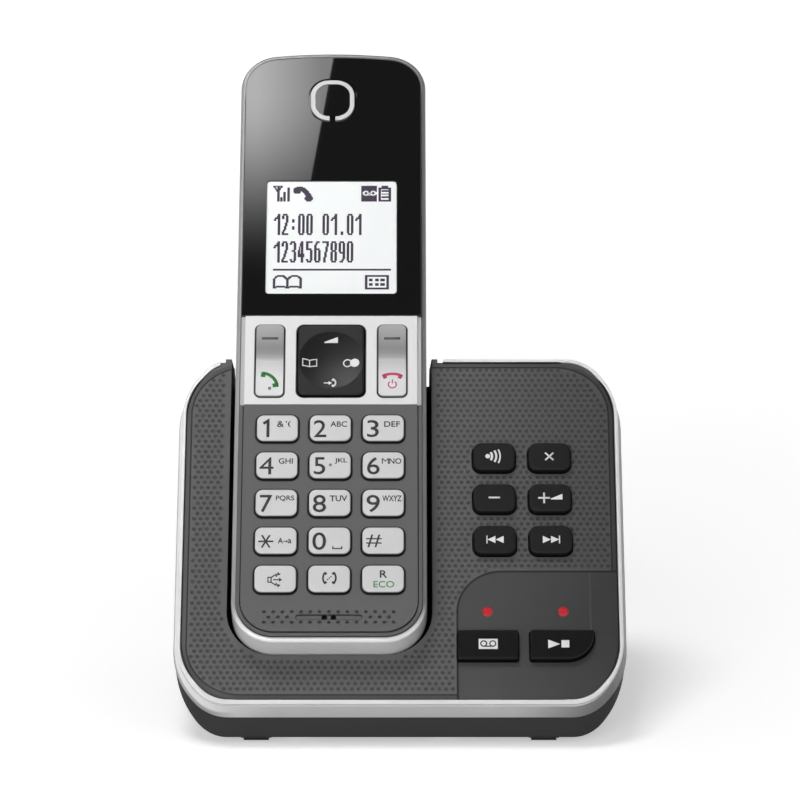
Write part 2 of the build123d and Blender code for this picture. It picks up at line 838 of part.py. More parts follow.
# ---- keys of the base
for name, place in soft_key_places.items():
    with BuildPart() as soft_key:
        with BuildSketch(level(base_key_bottom)):
            with Locations(place):
                RectangleRounded(soft_key_width, soft_key_height, soft_key_radius)
        extrude(amount=soft_key_top - base_key_bottom)
        fillet(soft_key.faces().sort_by(outward_axis)[-1].edges(), soft_key_edge)
        with BuildSketch(level(cover_bottom - key_play)):
            with Locations(place):
                RectangleRounded(soft_key_width + 2 * base_key_flange_width,
                                 soft_key_height + 2 * base_key_flange_width, soft_key_radius)
        extrude(amount=-base_key_flange_thickness)
    soft_key.part.label = name
    export_step(soft_key.part, f"parts/{name}.step")

for name in ("answer_on_key", "play_stop_key"):
    with BuildPart() as panel_key:
        with BuildSketch(level(base_key_bottom)):
            panel_key_outline(name, 0)
        extrude(amount=panel_key_top - base_key_bottom)
        fillet(panel_key.faces().sort_by(outward_axis)[-1].edges(), panel_key_edge)
        with BuildSketch(level(cover_bottom - key_play)):
            panel_key_outline(name, base_key_flange_width)
        extrude(amount=-base_key_flange_thickness)
    panel_key.part.label = name
    export_step(panel_key.part, f"parts/{name}.step")

# ---- handset: frame, front case and plates
with BuildPart() as handset_side_frame:
    with BuildSketch(level(split_height)):
        handset_outline(0)
    extrude(amount=frame_top - split_height)
    fillet(handset_side_frame.faces().sort_by(outward_axis)[-1].edges(), frame_edge_radius)
    with BuildSketch(level(split_height)):
        handset_outline(-frame_width)
    extrude(amount=frame_top - split_height, mode=Mode.SUBTRACT)
handset_side_frame.part.label = "handset_side_frame"
export_step(handset_side_frame.part, "parts/handset_side_frame.step")


def ring_outline(grow):
    with Locations(ring_center):
        RectangleRounded(ring_width + 2 * grow, ring_height + 2 * grow, ring_radius + grow)


lcd_hole_width = lcd_width + 2 * (lcd_body_border + lcd_gap)
lcd_hole_height = lcd_height + 2 * (lcd_body_border + lcd_gap)

with BuildPart() as handset_front_case:
    with BuildSketch(level(split_height)):
        handset_outline(-frame_width)
    extrude(amount=frame_top - split_height)
    with BuildSketch(level(frame_top)):
        handset_outline(-frame_width)
        band(handset_low, silver_low, Mode.INTERSECT)
    extrude(amount=margin_top - frame_top)
    with BuildSketch(level(margin_top)):
        handset_outline(-(frame_width + margin_width + plate_groove))
        band(handset_low, silver_low, Mode.INTERSECT)
    extrude(amount=handset_front - margin_top)
    with BuildSketch(level(margin_top)):
        handset_outline(-(frame_width + margin_width))
        band(handset_low, silver_low, Mode.INTERSECT)
    with BuildSketch(level(margin_top)):
        handset_outline(-(frame_width + margin_width + plate_groove))
    extrude(amount=-plate_groove, mode=Mode.SUBTRACT)
    with BuildSketch(level(margin_top - plate_groove)):
        handset_outline(-(frame_width + margin_width + plate_groove))
        band(handset_low, silver_low, Mode.INTERSECT)
    extrude(amount=plate_groove)
    with BuildSketch(level(split_height)):
        handset_outline(-(frame_width + skirt_wall))
    extrude(amount=plate_bottom - split_height, mode=Mode.SUBTRACT)
    with BuildSketch(level(board_top)):
        with Locations(*screw_places):
            Circle(handset_boss_radius)
    extrude(amount=plate_bottom - board_top)
    with BuildSketch(level(board_top)):
        with Locations(*screw_places):
            Circle(handset_screw_radius + pilot_clearance)
    extrude(amount=plate_bottom - board_top, mode=Mode.SUBTRACT)
    with BuildSketch(level(plate_bottom)):
        with Locations(*key_places.values()):
            RectangleRounded(key_width, key_height, key_radius)
        with Locations(*call_key_places.values()):
            RectangleRounded(call_key_width, call_key_height, call_key_radius)
        with Locations(nav_place):
            RectangleRounded(nav_width, nav_height, nav_radius)
        with Locations(lcd_center):
            Rectangle(lcd_hole_width, lcd_hole_height)
    extrude(amount=plate_thickness, mode=Mode.SUBTRACT)
    with BuildSketch(level(handset_front)):
        with Locations(mic_center):
            SlotOverall(mic_slot_width, mic_slot_height)
    extrude(amount=-mic_slot_depth, mode=Mode.SUBTRACT)
    with BuildSketch(level(handset_front)):
        with Locations(mic_center):
            with GridLocations(mic_pitch_across, 2 * mic_pitch_along, mic_dots, 2):
                Circle(mic_dot_radius)
            for dot in range(mic_dots - 1):
                across = (dot - mic_dots / 2 + 1) * mic_pitch_across
                if abs(across) > (mic_slot_width + mic_pitch_across) / 2:
                    with Locations((across, 0)):
                        Circle(mic_dot_radius)
    extrude(amount=-mic_dot_depth, mode=Mode.SUBTRACT)
    with BuildSketch(level(plate_bottom)):
        with Locations(mic_center):
            with GridLocations(mic_port_spacing, 1, 2, 1):
                Circle(mic_port_radius)
    extrude(amount=plate_thickness, mode=Mode.SUBTRACT)
handset_front_case.part.label = "handset_front_case"
export_step(handset_front_case.part, "parts/handset_front_case.step")

with BuildPart() as navigation_panel:
    with BuildSketch(level(frame_top)):
        handset_outline(-frame_width)
        band(silver_low, window_low - window_gap, Mode.INTERSECT)
    extrude(amount=margin_top - frame_top)
    with BuildSketch(level(margin_top)):
        handset_outline(-(frame_width + silver_step_width))
        band(silver_low, window_low - window_gap, Mode.INTERSECT)
    extrude(amount=silver_top - margin_top)
    with BuildSketch(level(frame_top)):
        with Locations(*call_key_places.values()):
            RectangleRounded(call_key_width, call_key_height, call_key_radius)
        with Locations(nav_place):
            RectangleRounded(nav_width, nav_height, nav_radius)
    extrude(amount=silver_top - frame_top, mode=Mode.SUBTRACT)
navigation_panel.part.label = "navigation_panel"
export_step(navigation_panel.part, "parts/navigation_panel.step")

with BuildPart() as display_window:
    with BuildSketch(level(frame_top)):
        handset_outline(-window_inset, window_drop)
        band(window_low, far, Mode.INTERSECT)
    extrude(amount=window_top - frame_top)
    chamfer(display_window.faces().sort_by(outward_axis)[-1].edges(), ring_proud)
    with BuildSketch(level(frame_top)):
        with Locations(lcd_center):
            RectangleRounded(lcd_width, lcd_height, lcd_radius)
    extrude(amount=window_top - frame_top, mode=Mode.SUBTRACT)
    with BuildSketch(level(window_top)):
        ring_outline(ring_groove)
        with Locations(ring_center):
            RectangleRounded(ring_width - 2 * ring_band, ring_height - 2 * ring_band,
                             ring_radius - ring_band, mode=Mode.SUBTRACT)
    extrude(amount=-ring_depth, mode=Mode.SUBTRACT)
display_window.part.label = "display_window"
export_step(display_window.part, "parts/display_window.step")

with BuildPart() as earpiece_ring:
    with BuildSketch(level(window_top - ring_depth)):
        ring_outline(0)
    extrude(amount=ring_depth + ring_proud)
    fillet(earpiece_ring.faces().sort_by(outward_axis)[-1].edges(), ring_proud)
    with BuildSketch(level(window_top - ring_depth)):
        ring_outline(-ring_band)
        with Locations((ring_center[0], ring_center[1] - ring_height / 2)):
            Rectangle(2 * ring_opening, 4 * ring_band)
    extrude(amount=ring_depth + ring_proud, mode=Mode.SUBTRACT)
earpiece_ring.part.label = "earpiece_ring"
export_step(earpiece_ring.part, "parts/earpiece_ring.step")

with BuildPart() as lcd_module:
    with BuildSketch(level(board_top)):
        with Locations(lcd_center):
            Rectangle(lcd_width + 2 * lcd_body_border, lcd_height + 2 * lcd_body_border)
    extrude(amount=frame_top - board_top)
    with BuildSketch(level(frame_top)):
        with Locations(lcd_center):
            RectangleRounded(lcd_width - 2 * lcd_gap, lcd_height - 2 * lcd_gap, lcd_radius)
    extrude(amount=window_top - lcd_sink - frame_top)
lcd_module.part.label = "lcd_module"
export_step(lcd_module.part, "parts/lcd_module.step")

# ---- inside the handset
with BuildPart() as earpiece_receiver:
    with BuildSketch(level(plate_bottom)):
        with Locations(ring_center):
            Circle(receiver_radius)
    extrude(amount=-receiver_depth)
earpiece_receiver.part.label = "earpiece_receiver"
export_step(earpiece_receiver.part, "parts/earpiece_receiver.step")

with BuildPart() as handset_circuit_board:
    with BuildSketch(level(board_top)):
        handset_outline(-board_inset)
        with Locations(*screw_places):
            Circle(handset_screw_radius + hole_clearance, mode=Mode.SUBTRACT)
    extrude(amount=-board_thickness)
handset_circuit_board.part.label = "handset_circuit_board"
export_step(handset_circuit_board.part, "parts/handset_circuit_board.step")

call_mat_high = nav_center_v + call_key_height / 2
with BuildPart() as handset_key_mat:
    with BuildSketch(level(board_top)):
        handset_outline(-mat_inset)
        band(mat_low, call_mat_high, Mode.INTERSECT)
        with Locations(*screw_places):
            Circle(handset_boss_radius + hole_clearance, mode=Mode.SUBTRACT)
    extrude(amount=mat_thickness)
    with BuildSketch(level(mat_top)):
        with Locations(*key_places.values(), *call_key_places.values()):
            Circle(key_dome_radius)
    extrude(amount=key_dome_height)
handset_key_mat.part.label = "handset_key_mat"
export_step(handset_key_mat.part, "parts/handset_key_mat.step")

with BuildPart() as handset_microphone:
    with BuildSketch(level(board_top)):
        with Locations(mic_center):
            Circle(mic_body_radius)
    extrude(amount=plate_bottom - board_top)
handset_microphone.part.label = "handset_microphone"
export_step(handset_microphone.part, "parts/handset_microphone.step")

inner_back = handset_back + back_wall
with BuildPart() as handset_loudspeaker:
    with BuildSketch(level(inner_back)):
        with Locations((handset_center, loudspeaker_v)):
            Circle(loudspeaker_radius)
    extrude(amount=loudspeaker_depth)
handset_loudspeaker.part.label = "handset_loudspeaker"
export_step(handset_loudspeaker.part, "parts/handset_loudspeaker.step")

# ---- back case with the battery bay
with BuildPart() as back_cavity:
    with BuildSketch(level(split_height)):
        handset_outline(-(back_wall + skirt_wall / 2))
    extrude(amount=inner_back - split_height)
    fillet(back_cavity.faces().sort_by(outward_axis)[0].edges(), back_edge_radius - back_wall)

bay_center_v = (bay_low + bay_high) / 2
cover_low_limit = battery_cover_low - battery_cover_travel - battery_cover_gap
cover_high_limit = battery_cover_high + battery_cover_gap
cover_center_v = (cover_low_limit + cover_high_limit) / 2
recess_width = 2 * (battery_cover_half_width + battery_cover_gap)
recess_length = cover_high_limit - cover_low_limit
post_places = [(handset_center + side * (handset_half_width - post_inset), v)
               for side in (-1, 1) for v in (post_low, post_high)]

with BuildPart() as handset_back_case:
    with BuildSketch(level(split_height)):
        handset_outline(0)
    extrude(amount=handset_back - split_height)
    fillet(handset_back_case.faces().sort_by(outward_axis)[0].edges(), back_edge_radius)
    add(back_cavity.part, mode=Mode.SUBTRACT)
    with BuildSketch(level(inner_back)):
        with Locations((handset_center, cover_center_v)):
            Rectangle(recess_width + 2 * recess_frame, recess_length + 2 * recess_frame)
    extrude(amount=recess_frame)
    with BuildSketch(level(inner_back)):
        with Locations((handset_center, bay_center_v)):
            Rectangle(2 * (bay_half_width + bay_wall), bay_high - bay_low + 2 * bay_wall)
        with Locations(*screw_places, *post_places):
            Circle(post_radius)
    extrude(amount=bay_floor + bay_wall - inner_back)
    with BuildSketch(level(bay_floor)):
        with Locations(*screw_places, *post_places):
            Circle(post_radius)
    extrude(amount=board_bottom - bay_floor)
    with BuildSketch(level(handset_back)):
        with Locations((handset_center, cover_center_v)):
            Rectangle(recess_width, recess_length)
    extrude(amount=recess_floor - handset_back, mode=Mode.SUBTRACT)
    with BuildSketch(level(recess_floor)):
        with Locations((handset_center, bay_center_v)):
            Rectangle(2 * bay_half_width, bay_high - bay_low)
    extrude(amount=bay_floor - recess_floor, mode=Mode.SUBTRACT)
    with BuildSketch(level(recess_floor)):
        with Locations(*screw_places):
            Circle(handset_head_radius + pilot_clearance)
    extrude(amount=handset_head_height, mode=Mode.SUBTRACT)
    with BuildSketch(level(recess_floor)):
        with Locations(*screw_places):
            Circle(handset_screw_radius + hole_clearance)
    extrude(amount=board_bottom - recess_floor, mode=Mode.SUBTRACT)
    with BuildSketch(level(handset_back)):
        with Locations((handset_center, loudspeaker_v)):
            with GridLocations(loudspeaker_hole_pitch, loudspeaker_hole_pitch, 3, 3):
                Circle(loudspeaker_hole_radius)
    extrude(amount=back_wall, mode=Mode.SUBTRACT)
    with BuildSketch(level(handset_contact_low)):
        with Locations(*[(u, handset_low) for u in contact_places]):
            Rectangle(handset_contact_width, 2 * handset_contact_thickness)
    extrude(amount=handset_contact_high - handset_contact_low, mode=Mode.SUBTRACT)
handset_back_case.part.label = "handset_back_case"
export_step(handset_back_case.part, "parts/handset_back_case.step")

with BuildPart() as battery_cover:
    with BuildSketch(level(handset_back)):
        with Locations((handset_center, battery_cover_low)):
            Rectangle(2 * battery_cover_half_width, battery_cover_high - battery_cover_low,
                      align=(Align.CENTER, Align.MIN))
    extrude(amount=battery_cover_thickness)
    with BuildSketch(level(handset_back)):
        with Locations((handset_center, battery_cover_low + battery_cover_ribs * battery_cover_rib_pitch)):
            with GridLocations(1, battery_cover_rib_pitch, 1, battery_cover_ribs):
                SlotOverall(battery_cover_half_width, battery_cover_rib_pitch / 2)
    extrude(amount=battery_cover_thickness / 3, mode=Mode.SUBTRACT)
battery_cover.part.label = "battery_cover"
export_step(battery_cover.part, "parts/battery_cover.step")

with BuildPart() as battery_cells:
    for u in cell_places:
        cell_start = face.from_local_coords(Vector(u, cell_low, cell_height))
        with BuildSketch(Plane(origin=cell_start, x_dir=(1, 0, 0), z_dir=face.y_dir)):
            Circle(cell_radius)
        extrude(amount=cell_length)
battery_cells.part.label = "battery_cells"
export_step(battery_cells.part, "parts/battery_cells.step")

with BuildPart() as battery_contacts:
    with BuildSketch(level(cell_height - contact_size / 2)):
        for v in (bay_low + contact_thickness / 2, bay_high - contact_thickness / 2):
            with Locations(*[(u, v) for u in cell_places]):
                Rectangle(contact_size, contact_thickness)
    extrude(amount=contact_size)
battery_contacts.part.label = "battery_contacts"
export_step(battery_contacts.part, "parts/battery_contacts.step")

with BuildPart() as handset_charge_contacts:
    with BuildSketch(level(handset_contact_low)):
        with Locations(*[(u, handset_low) for u in contact_places]):
            Rectangle(handset_contact_width, handset_contact_thickness, align=(Align.CENTER, Align.MIN))
    extrude(amount=handset_contact_high - handset_contact_low)
handset_charge_contacts.part.label = "handset_charge_contacts"
export_step(handset_charge_contacts.part, "parts/handset_charge_contacts.step")

with BuildPart() as handset_screws:
    head_seat = recess_floor + handset_head_height
    with BuildSketch(level(head_seat)):
        with Locations(*screw_places):
            Circle(handset_screw_radius)
    extrude(amount=handset_screw_length)
    with BuildSketch(level(head_seat)):
        with Locations(*screw_places):
            Circle(handset_head_radius)
    extrude(amount=-handset_head_height)
handset_screws.part.label = "handset_screws"
export_step(handset_screws.part, "parts/handset_screws.step")

# ---- keys of the handset
for name, place in key_places.items():
    with BuildPart() as number_key:
        with BuildSketch(level(key_bottom)):
            with Locations(place):
                RectangleRounded(key_width - 2 * key_gap, key_height - 2 * key_gap, key_radius - key_gap)
        extrude(amount=key_top - key_bottom)
        fillet(number_key.faces().sort_by(outward_axis)[-1].edges(), key_edge)
        with BuildSketch(level(plate_bottom - key_play)):
            with Locations(place):
                RectangleRounded(key_width + 2 * (key_flange_width - key_gap),
                                 key_height + 2 * (key_flange_width - key_gap), key_radius)
        extrude(amount=-key_flange_thickness)
    number_key.part.label = name
    export_step(number_key.part, f"parts/{name}.step")

for name, place in call_key_places.items():
    with BuildPart() as call_key:
        with BuildSketch(level(key_bottom)):
            with Locations(place):
                RectangleRounded(call_key_width - 2 * key_gap, call_key_height - 2 * key_gap,
                                 call_key_radius - key_gap)
        extrude(amount=call_key_top - key_bottom)
        half = call_key_height / 2
        edge_v, middle_v = place[1] + half, place[1]
        with BuildSketch(Plane.YZ) as valley:
            with BuildLine():
                Polyline((world_y(edge_v, call_key_top), world_z(edge_v, call_key_top)),
                         (world_y(middle_v, call_key_top - call_key_valley),
                          world_z(middle_v, call_key_top - call_key_valley)),
                         (world_y(middle_v - half, call_key_top), world_z(middle_v - half, call_key_top)),
                         close=True)
            make_face()
        extrude(amount=base_half_width, both=True, mode=Mode.SUBTRACT)
        with BuildSketch(level(plate_bottom - key_play)):
            with Locations(place):
                RectangleRounded(call_key_width + 2 * (key_flange_width - key_gap),
                                 call_key_height + 2 * (key_flange_width - key_gap), call_key_radius)
        extrude(amount=-key_flange_thickness)
    call_key.part.label = name
    export_step(call_key.part, f"parts/{name}.step")

# a ball that cuts a shallow round dish of the stated radius and depth
dish_ball_radius = (nav_dish_radius**2 + nav_dish_depth**2) / (2 * nav_dish_depth)
with BuildPart() as nav_key:
    with BuildSketch(level(nav_bottom)):
        with Locations(nav_place):
            RectangleRounded(nav_width - 2 * nav_gap, nav_height - 2 * nav_gap, nav_radius - nav_gap)
    extrude(amount=nav_top - nav_bottom)
    fillet(nav_key.faces().sort_by(outward_axis)[-1].edges(), key_edge)
    dish_center = Vector(nav_place[0], nav_place[1], nav_top - nav_dish_depth + dish_ball_radius)
    with Locations(face.from_local_coords(dish_center)):
        Sphere(dish_ball_radius, mode=Mode.SUBTRACT)
    with BuildSketch(level(nav_bottom)):
        with Locations(nav_place):
            RectangleRounded(nav_width + 2 * nav_flange_width, nav_height + 2 * nav_flange_width, nav_radius)
    extrude(amount=nav_flange_top - nav_bottom)
nav_key.part.label = "nav_key"
export_step(nav_key.part, "parts/nav_key.step")

with BuildPart() as nav_pivot_pad:
    with BuildSketch(level(mat_top + nav_pad_gap)):
        with Locations(nav_place):
            Circle(nav_pad_radius)
    extrude(amount=nav_bottom - mat_top - 2 * nav_pad_gap)
nav_pivot_pad.part.label = "nav_pivot_pad"
export_step(nav_pivot_pad.part, "parts/nav_pivot_pad.step")
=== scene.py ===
from math import cos, hypot, radians, sin, sqrt

import bpy
from mathutils import Matrix, Vector


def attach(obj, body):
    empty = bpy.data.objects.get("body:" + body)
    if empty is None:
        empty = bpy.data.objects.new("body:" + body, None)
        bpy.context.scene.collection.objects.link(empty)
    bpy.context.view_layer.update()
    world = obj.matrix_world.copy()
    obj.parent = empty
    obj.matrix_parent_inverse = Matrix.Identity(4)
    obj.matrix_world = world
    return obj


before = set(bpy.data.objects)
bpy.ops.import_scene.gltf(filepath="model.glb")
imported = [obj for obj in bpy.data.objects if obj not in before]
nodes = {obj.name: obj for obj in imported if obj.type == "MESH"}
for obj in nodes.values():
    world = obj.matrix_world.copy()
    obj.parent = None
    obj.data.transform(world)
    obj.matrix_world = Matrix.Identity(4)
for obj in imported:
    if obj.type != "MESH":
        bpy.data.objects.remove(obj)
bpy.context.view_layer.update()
scene = bpy.context.scene
scene.view_settings.view_transform = "Standard"
mm = 0.001

# The sloping face: marks are drawn flat in millimetres (across, up the slope, height) and turned onto it.
faceSlope = radians(48.6)
faceFoot = Vector((0, -0.0646, 0.0116))
markThickness = 0.03
weldGap = 0.000002  # in metres

# Measures that finishes and marks share, in millimetres on that face.
handsetMiddle = -17.35
callKeys = {"middle": 90.0, "offset": 15.4, "half": 10.3, "top": 8.7, "valley": 0.55}
keyPitch = (13.2, 10.35)
displayCell = 0.26


# Camera, light and floor.

view = {"place": (0, -1.0384, 0.3305), "tilt": 76, "lens": 189, "sensor": 36}

camera = bpy.data.objects.new("camera", bpy.data.cameras.new("camera"))
camera.data.lens = view["lens"]
camera.data.sensor_width = view["sensor"]
camera.data.clip_start = 0.01
camera.location = view["place"]
camera.rotation_euler = (radians(view["tilt"]), 0, 0)
scene.collection.objects.link(camera)
scene.camera = camera


def addNode(tree, kind, inputs=None, **settings):
    # an input given as a socket is linked, any other value is set
    made = tree.nodes.new(kind)
    for name, value in settings.items():
        setattr(made, name, value)
    for key, value in (inputs or {}).items():
        if isinstance(value, bpy.types.NodeSocket):
            tree.links.new(value, made.inputs[key])
        else:
            made.inputs[key].default_value = value
    return made


def calc(tree, operation, *values):
    return addNode(tree, "ShaderNodeMath", dict(enumerate(values)), operation=operation).outputs[0]


def vectorCalc(tree, operation, *values):
    made = addNode(tree, "ShaderNodeVectorMath", dict(enumerate(values)), operation=operation)
    return made.outputs["Value" if operation in ("LENGTH", "DOT_PRODUCT") else "Vector"]


def remap(tree, value, low, high, fromLow=0.0, fromHigh=1.0, smooth=False):
    made = addNode(tree, "ShaderNodeMapRange", {"Value": value, "From Min": fromLow, "From Max": fromHigh,
                                                "To Min": low, "To Max": high})
    if smooth:
        made.interpolation_type = "SMOOTHSTEP"
    return made.outputs["Result"]


def alongAxis(tree, vector, axis):
    return addNode(tree, "ShaderNodeSeparateXYZ", {0: vector}).outputs[axis]


def emptied(made):
    # the node tree of a new material or world, with nothing in it
    made.use_nodes = True
    made.node_tree.nodes.clear()
    return made.node_tree


def bareMaterial(name):
    made = bpy.data.materials.new(name)
    return made, emptied(made)


def alone(*pieces):
    if bpy.context.mode != "OBJECT":
        bpy.ops.object.mode_set(mode="OBJECT")
    bpy.ops.object.select_all(action="DESELECT")
    for piece in pieces:
        piece.select_set(True)
    bpy.context.view_layer.objects.active = pieces[0]


world = {"fill": 0.3, "sky": 0.12, "horizon": 1.0, "skyFrom": 0.5, "skyTo": 0.75}
floorLook = {"size": 16, "colour": (0.86, 0.86, 0.86), "glow": 0.42, "farGlow": 0.75, "near": 0.1, "far": 0.9}


def seenDirectly(tree):
    # 1 for camera, glossy and transmission rays
    path = addNode(tree, "ShaderNodeLightPath").outputs
    seen = calc(tree, "MAXIMUM", path["Is Camera Ray"], path["Is Glossy Ray"])
    return calc(tree, "MAXIMUM", seen, path["Is Transmission Ray"])


def makeWorld():
    made = bpy.data.worlds.new("studio")
    tree = emptied(made)
    up = alongAxis(tree, addNode(tree, "ShaderNodeTexCoord").outputs["Generated"], "Z")
    shown = remap(tree, up, world["horizon"], world["sky"], world["skyFrom"], world["skyTo"], True)
    mixed = addNode(tree, "ShaderNodeMix", {"Factor": seenDirectly(tree), "A": world["fill"], "B": shown})
    back = addNode(tree, "ShaderNodeBackground", {"Color": (1, 1, 1, 1), "Strength": mixed.outputs["Result"]})
    addNode(tree, "ShaderNodeOutputWorld", {"Surface": back.outputs[0]})
    scene.world = made


def makeFloor():
    alone(camera)
    bpy.ops.mesh.primitive_plane_add(size=floorLook["size"], location=(0, 0, 0))
    floor = bpy.context.object
    floor.name = "floor"
    paper, tree = bareMaterial("floorPaper")
    matt = addNode(tree, "ShaderNodeBsdfDiffuse", {"Color": (*floorLook["colour"], 1)})
    # the lamps fall off with distance, so the far paper glows more and stays white
    away = vectorCalc(tree, "LENGTH", addNode(tree, "ShaderNodeTexCoord").outputs["Object"])
    lift = remap(tree, away, floorLook["glow"], floorLook["farGlow"], floorLook["near"], floorLook["far"])
    glow = addNode(tree, "ShaderNodeEmission",
                   {"Color": (1, 1, 1, 1), "Strength": calc(tree, "MULTIPLY", seenDirectly(tree), lift)})
    both = addNode(tree, "ShaderNodeAddShader", {0: matt.outputs[0], 1: glow.outputs[0]})
    addNode(tree, "ShaderNodeOutputMaterial", {"Surface": both.outputs[0]})
    floor.data.materials.append(paper)


# The large softbox hangs over the machine; its near right corner is the one mirrored in the display window.
softbox = {"centre": (-0.0332, -0.2718, 1.0858), "facing": (-0.0159, -0.3033, 0.9528), "right": 0.0,
           "lean": 0.187, "leanFrom": 0.0396, "front": -0.08, "width": 0.42, "depth": 0.42, "strength": 10.4,
           "fadeFrom": -0.075, "fadeTo": 0.025, "fadePower": 1.6, "sideFrom": -0.037, "sideTo": -0.005,
           "sideLeft": 0.47}
lampTarget = Vector((0, 0, 0.07))
frontLight = {"place": (-0.45, -1.15, 0.3), "size": (0.7, 0.5), "power": 6.0}
sideLight = {"place": (1.0, -0.5, 0.55), "size": (0.5, 0.7), "power": 0.35}


def makeSoftbox():
    alone(camera)
    bpy.ops.mesh.primitive_plane_add(size=1)
    box = bpy.context.object
    box.name = "softbox"
    away = Vector(softbox["facing"]).normalized()
    along = away.cross(Vector((1, 0, 0))).normalized()
    across = along.cross(away)
    centre = Vector(softbox["centre"])
    for corner in box.data.vertices:  # the right side leans, as the mirrored edge does
        depth = softbox["front"] + (corner.co.y + 0.5) * softbox["depth"]
        right = softbox["right"] + softbox["lean"] * (depth - softbox["leanFrom"])
        corner.co = centre + along * depth + across * (right + (corner.co.x - 0.5) * softbox["width"])
    silk, tree = bareMaterial("softboxSilk")
    place = vectorCalc(tree, "SUBTRACT", addNode(tree, "ShaderNodeTexCoord").outputs["Object"], centre)
    depth = vectorCalc(tree, "DOT_PRODUCT", place, along)
    fade = remap(tree, depth, 0, 1, softbox["fadeFrom"], softbox["fadeTo"], True)
    fade = calc(tree, "POWER", fade, softbox["fadePower"])
    beside = vectorCalc(tree, "DOT_PRODUCT", place, across)
    side = remap(tree, beside, 1, softbox["sideLeft"], softbox["sideFrom"], softbox["sideTo"])
    strength = calc(tree, "MULTIPLY", calc(tree, "MULTIPLY", fade, side), softbox["strength"])
    strength = calc(tree, "ADD", strength, world["sky"])
    light = addNode(tree, "ShaderNodeEmission", {"Strength": strength})
    addNode(tree, "ShaderNodeOutputMaterial", {"Surface": light.outputs[0]})
    box.data.materials.append(silk)
    box.visible_camera = False


def makeLamp(name, look):
    lamp = bpy.data.objects.new(name, bpy.data.lights.new(name, "AREA"))
    lamp.data.shape = "RECTANGLE"
    lamp.data.size, lamp.data.size_y = look["size"]
    lamp.data.energy = look["power"]
    lamp.location = look["place"]
    lamp.rotation_euler = (lampTarget - Vector(look["place"])).to_track_quat("-Z", "Y").to_euler()
    scene.collection.objects.link(lamp)


makeWorld()
makeFloor()
makeSoftbox()
makeLamp("frontLight", frontLight)
makeLamp("sideLight", sideLight)
print("camera, light and floor done")


# Finishes.

def startFinish(name, settings):
    # an empty material with its Principled shader, and the place on the object
    material = bpy.data.materials.new(name)
    material.use_nodes = True
    tree = material.node_tree
    shader = tree.nodes["Principled BSDF"]
    for key, value in settings.items():
        shader.inputs[key].default_value = value
    return material, tree, shader, addNode(tree, "ShaderNodeTexCoord").outputs["Object"]


noiseSpan = (0.3, 0.7)  # nearly all values of the noise lie between these


def noise(tree, place, size, detail=2.0):
    # size is the width of one blotch in millimetres
    made = addNode(tree, "ShaderNodeTexNoise", {"Vector": place, "Scale": 1 / (size * mm), "Detail": detail})
    return made.outputs[0]


def tint(tree, colour, value):
    return addNode(tree, "ShaderNodeHueSaturation", {"Color": (*colour, 1), "Value": value}).outputs["Color"]


def bump(tree, height, depth, under=None):
    # depth in millimetres for a height of 1
    inputs = {"Height": height, "Distance": depth * mm, "Strength": 1.0}
    if under is not None:
        inputs["Normal"] = under
    return addNode(tree, "ShaderNodeBump", inputs).outputs["Normal"]


def moulded(name, look):
    # moulded or painted plastic: fine grain, faint mottling, roughness that varies a little
    settings = {"IOR": 1.5, "Metallic": look.get("metal", 0.0), "Specular IOR Level": look.get("shine", 0.5),
                "Coat Weight": look.get("coat", 0.0), "Coat Roughness": 0.1}
    material, tree, shader, place = startFinish(name, settings)
    mottle = noise(tree, place, look.get("blotch", 9.0), 3.0)
    grain = noise(tree, place, look.get("grain", 0.3))
    spread = look.get("mottle", 0.05)
    value = remap(tree, calc(tree, "ADD", mottle, grain), 1 - spread, 1 + spread, 0.7, 1.3)
    tree.links.new(tint(tree, look["colour"], value), shader.inputs["Base Color"])
    rough = look["roughness"]
    tree.links.new(remap(tree, mottle, rough * 0.9, rough * 1.1, *noiseSpan), shader.inputs["Roughness"])
    tree.links.new(bump(tree, grain, look.get("depth", 0.008)), shader.inputs["Normal"])
    return material, tree, shader, place


def faceCoordinates(tree, place):
    # millimetres across, up the slope and out of the sloping face
    made = addNode(tree, "ShaderNodeMapping", {"Vector": place, "Location": faceFoot, "Scale": (mm, mm, mm),
                                               "Rotation": (faceSlope, 0, 0)}, vector_type="TEXTURE")
    return made.outputs["Vector"]


def flattened(tree, face):
    # the same place with its height over the face left out
    return vectorCalc(tree, "MULTIPLY", face, (1, 1, 0))


def roundedBox(tree, away, half, radius):
    # signed distance to a rounded rectangle from the distances to its middle, negative inside
    corner = vectorCalc(tree, "SUBTRACT", away, (half[0] - radius, half[1] - radius, 0))
    outside = vectorCalc(tree, "MAXIMUM", corner, (0, 0, 0))
    return calc(tree, "SUBTRACT", vectorCalc(tree, "LENGTH", outside), radius)


def awayFrom(tree, place, centre):
    return vectorCalc(tree, "ABSOLUTE", vectorCalc(tree, "SUBTRACT", place, (*centre, 0)))


def toShape(tree, flat, shape):
    return roundedBox(tree, awayFrom(tree, flat, shape["centre"]), shape["half"], shape["radius"])


def shaded(tree, shader, value):
    # multiplies the base colour to paint in shade: in recesses, in gaps between parts and where less light
    # falls
    base = shader.inputs["Base Color"].links[0].from_socket
    dimmed = addNode(tree, "ShaderNodeHueSaturation", {"Color": base, "Value": value})
    tree.links.new(dimmed.outputs["Color"], shader.inputs["Base Color"])


def shadeAlong(tree, shader, value, span):
    # a span is two brightnesses and the two places between which one turns into the other
    shaded(tree, shader, remap(tree, value, *span))


def over(tree, face, span):
    # brightness by the height over the face
    return remap(tree, alongAxis(tree, face, "Z"), *span)


